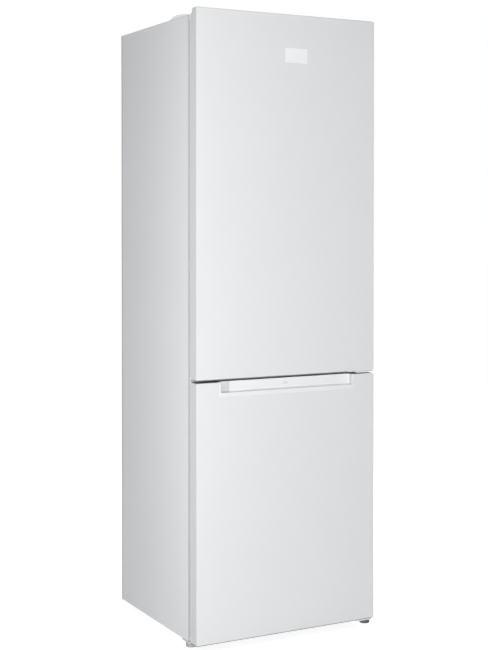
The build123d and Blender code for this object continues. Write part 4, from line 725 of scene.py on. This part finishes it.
# %% [markdown]
# ## Finishes of the back and of what is hidden
# Behind the doors there is bare zinc with its crystals, black baked enamel on the compressor and
# the condenser, copper that has gone dull by its joints, and foam. The cells of a Voronoi texture
# have the look of zinc crystals, flat patches with straight borders, and each cell's own colour
# gives it a shade and a roughness. The back is where dust gathers, so zinc and black enamel carry
# the dust group.

# %% Zinc and aluminium
DUST_COLOUR = (0.42, 0.40, 0.37, 1.0)
ZINC_DUST = 0.25
CRYSTAL_SMOOTHER = 0.08
CRYSTAL_ROUGHER = 0.12


def dusted(tree, tone, shader, amount):
    """Lay dust over a colour, on what faces up."""
    dust = add_group(tree, dust_group, {"Amount": amount})
    cover = add_node(tree, "MixRGB", {"Color2": DUST_COLOUR})
    join(
        tree,
        (dust, "Dust", cover, "Fac"),
        (tone, "Color", cover, "Color1"),
        (cover, "Color", shader, "Base Color"),
    )


def zinc_sheet(name, colour, *, crystal, roughness):
    """Hot-dipped zinc: flat crystals, each turned its own way."""
    material, tree, shader = blank_finish(name, {"Metallic": 1.0})
    smoothest = roughness - CRYSTAL_SMOOTHER
    roughest = roughness + CRYSTAL_ROUGHER
    where = add_node(tree, "TexCoord")
    crystals = add_node(tree, "TexVoronoi", {"Scale": crystal, "Randomness": 1.0})
    grey = add_node(tree, "SeparateColor")
    bright = add_node(tree, "MapRange", {"To Min": 0.82, "To Max": 1.05})
    matt = add_node(tree, "MapRange", {"To Min": smoothest, "To Max": roughest})
    tone = add_node(tree, "HueSaturation", {"Color": (*colour, 1.0)})
    softened = add_group(tree, edge_group, {"Radius": 0.3 * MM, "Wear": 0.0})
    join(
        tree,
        (where, "Object", crystals, "Vector"),
        (crystals, "Color", grey, "Color"),
        (grey, "Red", bright, "Value"),
        (grey, "Green", matt, "Value"),
        (bright, "Result", tone, "Value"),
        (matt, "Result", shader, "Roughness"),
        (softened, "Normal", shader, "Normal"),
    )
    dusted(tree, tone, shader, ZINC_DUST)
    return material


bare_zinc = zinc_sheet("bare_zinc", (0.5, 0.51, 0.53), crystal=85.0, roughness=0.42)
plate_zinc = zinc_sheet("plate_zinc", (0.74, 0.75, 0.77), crystal=400.0, roughness=0.3)
roll_aluminium = zinc_sheet("roll_aluminium", (0.82, 0.83, 0.84), crystal=900.0, roughness=0.3)
print("zinc and aluminium made")

# %% Black enamel
BAKED_BLACK = (0.022, 0.022, 0.024, 1.0)
RUBBED_STEEL = (0.2, 0.19, 0.18, 1.0)


def black_enamel(name, *, wear, dust):
    """Black baked enamel, rubbed through on its edges and dusty on top."""
    material, tree, shader = blank_finish(name, {"Roughness": 0.38})
    spray = add_group(tree, ripple_group, {"Scale": 300.0, "Drift": 0.25})
    edge = add_group(tree, edge_group, {"Radius": 0.8 * MM, "Wear": wear})
    tone = add_node(tree, "HueSaturation", {"Color": BAKED_BLACK})
    rubbed = add_node(tree, "MixRGB", {"Color2": RUBBED_STEEL})
    join(
        tree,
        (spray, "Shade", tone, "Value"),
        (tone, "Color", rubbed, "Color1"),
        (edge, "Edge", rubbed, "Fac"),
    )
    dusted(tree, rubbed, shader, dust)
    relief(tree, spray, edge, shader, depth=0.03 * MM)
    return material


compressor_black = black_enamel("compressor_black", wear=0.35, dust=0.5)
condenser_black = black_enamel("condenser_black", wear=0.15, dust=0.35)
print("black enamel made")

# %% Copper and foam
# Where each tone of copper lies on the scale of the stain
COPPER_TONES = ((0.35, (0.33, 0.15, 0.09, 1.0)), (0.62, (0.78, 0.42, 0.29, 1.0)))


def copper_pipe(name):
    """Drawn copper, bright in places and brown where it was heated."""
    material, tree, shader = blank_finish(name, {"Metallic": 1.0})
    where = add_node(tree, "TexCoord")
    stain = add_node(tree, "TexNoise", {"Scale": 38.0, "Detail": 6.0, "Roughness": 0.65})
    tone = add_node(tree, "ValToRGB")
    for element, (position, colour) in zip(tone.color_ramp.elements, COPPER_TONES):
        element.position = position
        element.color = colour
    matt = add_node(tree, "MapRange", {"To Min": 0.5, "To Max": 0.22})
    join(
        tree,
        (where, "Object", stain, "Vector"),
        (stain, "Fac", tone, "Fac"),
        (tone, "Color", shader, "Base Color"),
        (stain, "Fac", matt, "Value"),
        (matt, "Result", shader, "Roughness"),
    )
    return material


pipe_copper = copper_pipe("pipe_copper")
pale_foam = textured_finish(
    "pale_foam", (0.78, 0.66, 0.38), grain_group, {"Roughness": 0.9},
    scale=420.0, drift=0.2, depth=0.6 * MM, edge=1.0 * MM,
)
print("copper and foam made")

# %% [markdown]
# ## Dressing the solids
# Every solid keeps its own mesh, and only gets the finish that the real piece has. A table of
# finish to pieces reads better than a long list of single lines, and shows at once if a piece was
# forgotten.

# %% Dress every solid
dress = {
    upper_door_enamel: ["fridge_door_panel"],
    lower_door_enamel: ["freezer_door_panel"],
    side_enamel: ["left_side_panel", "right_side_panel"],
    plain_enamel: ["top_panel", "centre_rail", "foot_bracket"],
    brightened_arm_enamel: ["middle_hinge"],
    cap_plastic: ["fridge_door_top_cap", "top_cover", "shelf_trims"],
    gap_shade_plastic: ["fridge_door_bottom_cap", "freezer_door_top_cap", "freezer_door_bottom_cap"],
    handle_plastic: ["freezer_door_handle"],
    liner_plastic: [
        "fridge_liner", "freezer_liner", "fridge_door_liner", "freezer_door_liner",
        "control_housing",
    ],
    seal_rubber: ["fridge_door_gasket", "freezer_door_gasket"],
    grey_plastic: ["thermostat_knob", "condenser_brackets"],
    foot_plastic: ["front_left_foot"],
    dark_plastic: [
        "front_right_foot", "rear_left_roller", "rear_right_roller", "terminal_box", "drip_tray",
    ],
    black_rubber: ["compressor_mounts", "cord_gland"],
    drawer_plastic: [
        "crisper_drawer", "freezer_drawer_top", "freezer_drawer_middle", "freezer_drawer_bottom",
    ],
    bin_plastic: ["upper_door_bins", "bottle_bin"],
    lamp_lens: ["lamp_cover"],
    shelf_glass: ["glass_shelves", "crisper_lid", "freezer_shelves"],
    bare_zinc: ["back_panel", "base_pan", "compressor_base", "roller_brackets"],
    plate_zinc: ["top_hinge", "bottom_hinge", "hinge_screws"],
    roll_aluminium: ["fridge_evaporator", "freezer_evaporator"],
    compressor_black: ["compressor"],
    condenser_black: ["condenser_tube", "condenser_wires"],
    pipe_copper: ["filter_drier", "refrigerant_pipes"],
    pale_foam: ["insulation_foam", "fridge_door_foam", "freezer_door_foam"],
}
bare = set(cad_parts)
for finish, names in dress.items():
    for name in names:
        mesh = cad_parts[name].data
        mesh.materials.clear()
        mesh.materials.append(finish)
        bare.discard(name)
print("dressed", len(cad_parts) - len(bare), "solids, without a finish:", sorted(bare))

# %% [markdown]
# ## The plate on the upper door
# The door carries a small flat plate near its top. It could be a mere patch of colour in the
# enamel, but then it would have no edge. A thin block with a bevelled rim is all it needs: the rim
# matters, because it is what catches the light.

# %% Helpers for small pieces
def finished_piece(name, shape, finish, body):
    """Turn a bmesh into a piece that wears a finish and rides on a body."""
    piece = dressed_object(name, shape, finish)
    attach(piece, body)
    print("piece", name, "with", len(piece.data.polygons), "faces")
    return piece


def block(size):
    """A block of some size round the origin."""
    shape = bmesh.new()
    bmesh.ops.create_cube(shape, size=1.0)
    bmesh.ops.scale(shape, vec=size, verts=shape.verts)
    return shape


def bevel(shape, edges, offset, segments):
    """Round edges of a shape."""
    bmesh.ops.bevel(
        shape, geom=edges, offset=offset, segments=segments,
        profile=0.5, affect="EDGES", material=-1,
    )


def front_edges(shape):
    """The edges round the face that looks to the front."""
    return min(shape.faces, key=lambda face: face.calc_center_median().y).edges[:]


print("helpers for small pieces ready")

# %% Blank plate
PLATE_SIZE = Vector((74.0, 1.2, 42.5)) * MM
PLATE_MIDDLE = 27.5 * MM
PLATE_DROP = 117.5 * MM
PLATE_RIM = 0.8 * MM

plate = block(PLATE_SIZE)
bevel(plate, front_edges(plate), PLATE_RIM, segments=3)
plate_place = Vector((PLATE_MIDDLE, door_front - PLATE_SIZE.y / 2, upper_high.z - PLATE_DROP))
bmesh.ops.translate(plate, vec=plate_place, verts=plate.verts)
finished_piece("blank_plate", plate, plate_plastic, "fridge_door")

# %% [markdown]
# ## The plug in the handle's pocket
# A small plug closes the hole through which the handle is screwed to the door. It is a slot shape,
# so a block gets the four edges that run into the wall rounded nearly to half its height, and then
# a fine bevel round the face that is seen.

# %% Pocket plug
PLUG_SIZE = Vector((16.6, 1.4, 7.6)) * MM
PLUG_ROUND = 3.6 * MM
PLUG_RIM = 0.35 * MM
PLUG_DEPTH = 17.8 * MM

plug = block(PLUG_SIZE)
ends = [edge for edge in plug.edges if abs((edge.verts[0].co - edge.verts[1].co).y) > PLUG_RIM]
bevel(plug, ends, PLUG_ROUND, segments=6)
bevel(plug, front_edges(plug), PLUG_RIM, segments=2)
plug_place = Vector((0, lower_low.y + PLUG_DEPTH, lower_high.z - POCKET_DROP / 2))
bmesh.ops.translate(plug, vec=plug_place, verts=plug.verts)
finished_piece("pocket_plug", plug, plug_plastic, "freezer_door")

# %% [markdown]
# ## The door gaskets
# A magnetic gasket is a soft extrusion, cut to four lengths and welded at mitred corners: a foot
# that snaps into the liner, a bellows that takes up the play, and a pocket with the magnet strip.
# Its section is drawn as folds, each with its depth from the door and its distance from the outer
# edge. A rectangular loop of edges is extruded from fold to fold and scaled as it goes, which
# gives the mitres by itself, and the last loop is bridged to the first.

# %% Gasket bellows
# Depth from the door and distance from the outer edge, in millimetres
GASKET_FOLDS = (
    (0.0, 0.0), (3.5, 0.0), (4.2, 2.5), (5.0, 2.5), (5.6, 0.8), (6.2, 0.8), (7.0, 2.8),
    (8.2, 1.0), (11.7, 0.6), (12.2, 1.4), (12.2, 15.6), (11.7, 16.4), (8.2, 16.0),
    (7.0, 14.2), (6.2, 16.2), (5.6, 16.2), (5.0, 14.5), (4.2, 14.5), (3.5, 17.0), (0.0, 17.0),
)
UNIT_SQUARE_RADIUS = math.sqrt(0.5)
EIGHTH_TURN = math.pi / 4
QUARTER_TURN = math.pi / 2


def bellows(name, node, body):
    """A gasket with its folds, in the place of the plain solid."""
    low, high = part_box(node)
    size = high - low
    seal = bmesh.new()
    bmesh.ops.create_circle(seal, segments=4, radius=UNIT_SQUARE_RADIUS)
    bmesh.ops.rotate(seal, matrix=Matrix.Rotation(EIGHTH_TURN, 3, "Z"), verts=seal.verts)
    bmesh.ops.rotate(seal, matrix=Matrix.Rotation(QUARTER_TURN, 3, "X"), verts=seal.verts)
    bmesh.ops.scale(seal, vec=(size.x, 1.0, size.z), verts=seal.verts)
    first_loop = seal.edges[:]
    loop = first_loop
    width, height, depth = size.x, size.z, 0.0
    for fold_depth, inset in GASKET_FOLDS[1:]:
        grown = bmesh.ops.extrude_edge_only(seal, edges=loop)["geom"]
        corners = [item for item in grown if isinstance(item, bmesh.types.BMVert)]
        new_edges = [item for item in grown if isinstance(item, bmesh.types.BMEdge)]
        loop = [edge for edge in new_edges if set(edge.verts) <= set(corners)]
        new_width, new_height = size.x - 2 * inset * MM, size.z - 2 * inset * MM
        bmesh.ops.scale(seal, vec=(new_width / width, 1.0, new_height / height), verts=corners)
        bmesh.ops.translate(seal, vec=(0, fold_depth * MM - depth, 0), verts=corners)
        width, height, depth = new_width, new_height, fold_depth * MM
    bmesh.ops.bridge_loops(seal, edges=first_loop + loop)
    bmesh.ops.recalc_face_normals(seal, faces=seal.faces)
    seal_place = Vector(((low.x + high.x) / 2, low.y, (low.z + high.z) / 2))
    bmesh.ops.translate(seal, vec=seal_place, verts=seal.verts)
    piece = finished_piece(name, seal, seal_rubber, body)
    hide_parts(node)


bellows("fridge_gasket_bellows", "fridge_door_gasket", "fridge_door")
bellows("freezer_gasket_bellows", "freezer_door_gasket", "freezer_door")

# %% [markdown]
# ## The thermostat's dial
# The knob under the fridge's ceiling carries the numbers 0 to 7, and the housing a mark that they
# are turned to. Print could be a colour in the plastic, but as thin raised pieces the numbers stay
# sharp in a close view. Each number is set as text, made a mesh, moved out from the middle and
# turned to its place. A number stands upright when it is at the mark, on the left, and the next
# ones follow clockwise, because the knob is turned the other way.

# %% Dial numbers
DIAL_STEPS = 7
DIAL_TURN = math.radians(270.0)
DIAL_RADIUS = 12.0 * MM
NUMBER_SIZE = 5.5 * MM
NUMBER_RAISE = 0.08 * MM
NUMBER_MERGE = 0.001 * MM

knob_low, knob_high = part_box("thermostat_knob")
knob_middle = (knob_low + knob_high) / 2
upright = Matrix.Rotation(QUARTER_TURN, 3, "X")
numbers = bmesh.new()
for step in range(DIAL_STEPS + 1):
    text_data = bpy.data.curves.new("number", "FONT")
    text_data.body = str(step)
    text_data.size = NUMBER_SIZE
    text_data.extrude = NUMBER_RAISE
    text_data.align_x = "CENTER"
    text_data.align_y = "CENTER"
    text_object = bpy.data.objects.new("number", text_data)
    flat_number = bpy.data.meshes.new_from_object(text_object)
    before = set(numbers.verts)
    numbers.from_mesh(flat_number)
    added = [vert for vert in numbers.verts if vert not in before]
    step_turn = Matrix.Rotation(DIAL_TURN * step / DIAL_STEPS, 3, "Y")
    bmesh.ops.rotate(numbers, matrix=upright, verts=added)
    bmesh.ops.translate(numbers, vec=(-DIAL_RADIUS, 0, 0), verts=added)
    bmesh.ops.rotate(numbers, matrix=step_turn, verts=added)
    bpy.data.objects.remove(text_object)
    bpy.data.meshes.remove(flat_number)
    bpy.data.curves.remove(text_data)
bmesh.ops.remove_doubles(numbers, verts=numbers.verts, dist=NUMBER_MERGE)
numbers_place = Vector((knob_middle.x, knob_low.y - NUMBER_RAISE / 2, knob_middle.z))
bmesh.ops.translate(numbers, vec=numbers_place, verts=numbers.verts)
finished_piece("dial_numbers", numbers, dark_plastic, "knob")

# %% Dial mark
MARK_RADIUS = 2.4 * MM
MARK_TAPER = 0.8
MARK_HEIGHT = 3 * NUMBER_RAISE
MARK_GAP = 4.5 * MM

housing_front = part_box("control_housing")[0].y
mark = bmesh.new()
bmesh.ops.create_cone(
    mark, cap_ends=True, segments=3,
    radius1=MARK_RADIUS, radius2=MARK_TAPER * MARK_RADIUS, depth=MARK_HEIGHT,
)
bmesh.ops.rotate(mark, matrix=upright, verts=mark.verts)
bmesh.ops.rotate(mark, matrix=Matrix.Rotation(QUARTER_TURN, 3, "Y"), verts=mark.verts)
mark_place = Vector((knob_low.x - MARK_GAP, housing_front - NUMBER_RAISE, knob_middle.z))
bmesh.ops.translate(mark, vec=mark_place, verts=mark.verts)
finished_piece("dial_mark", mark, dark_plastic, "cabinet")

# %% [markdown]
# ## The fridge lamp
# Behind the milky cover on the ceiling lies a small bulb in its holder. A ball and a few cylinders
# could stand for them, but both are turned shapes, so half of the outline is drawn as a few points,
# joined by edges and spun once round the bulb's axis.

# %% Bulb and holder
# Length along the axis and radius, in millimetres
BULB_OUTLINE = (
    (0.0, 6.6), (4.0, 6.8), (8.0, 8.6), (14.0, 11.2), (22.0, 12.3), (32.0, 12.0), (40.0, 9.6),
    (45.0, 5.4), (47.0, 0.0),
)
HOLDER_OUTLINE = (
    (-24.0, 0.0), (-24.0, 9.0), (-21.0, 10.0), (-12.0, 10.0), (-11.0, 8.2), (-9.0, 7.6),
    (-7.5, 8.2), (-6.0, 7.6), (-4.5, 8.2), (-3.0, 7.6), (-1.0, 8.0), (0.5, 6.0), (0.5, 0.0),
)
TURNED_SIDES = 24
TURNED_MERGE = 0.01 * MM


def turned(name, outline, finish):
    """Spin an outline round the lamp's axis, which runs along X."""
    low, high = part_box("lamp_cover")
    shape = bmesh.new()
    points = [shape.verts.new((along * MM, 0, radius * MM)) for along, radius in outline]
    rails = [shape.edges.new(pair) for pair in zip(points, points[1:])]
    bmesh.ops.spin(
        shape, geom=points + rails, cent=(0, 0, 0), axis=(1, 0, 0), angle=2 * math.pi,
        steps=TURNED_SIDES, use_merge=True,
    )
    bmesh.ops.remove_doubles(shape, verts=shape.verts, dist=TURNED_MERGE)
    bmesh.ops.recalc_face_normals(shape, faces=shape.faces)
    for face in shape.faces:
        face.smooth = True
    bmesh.ops.translate(shape, vec=(low + high) / 2, verts=shape.verts)
    finished_piece(name, shape, finish, "cabinet")


turned("lamp_bulb", BULB_OUTLINE, bulb_glass)
turned("lamp_holder", HOLDER_OUTLINE, cap_plastic)

# %% [markdown]
# ## Keeping the size
# The dressed machine keeps the size of the solids that it was made around, apart from the plate,
# which stands out by its own thickness. How much the box grew is printed at the end.

# %% Compare the boxes and finish
dressed_low, dressed_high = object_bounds()
growth = (dressed_high - dressed_low) - (cad_high - cad_low)
print("box grew by", [round(side, 5) for side in growth])
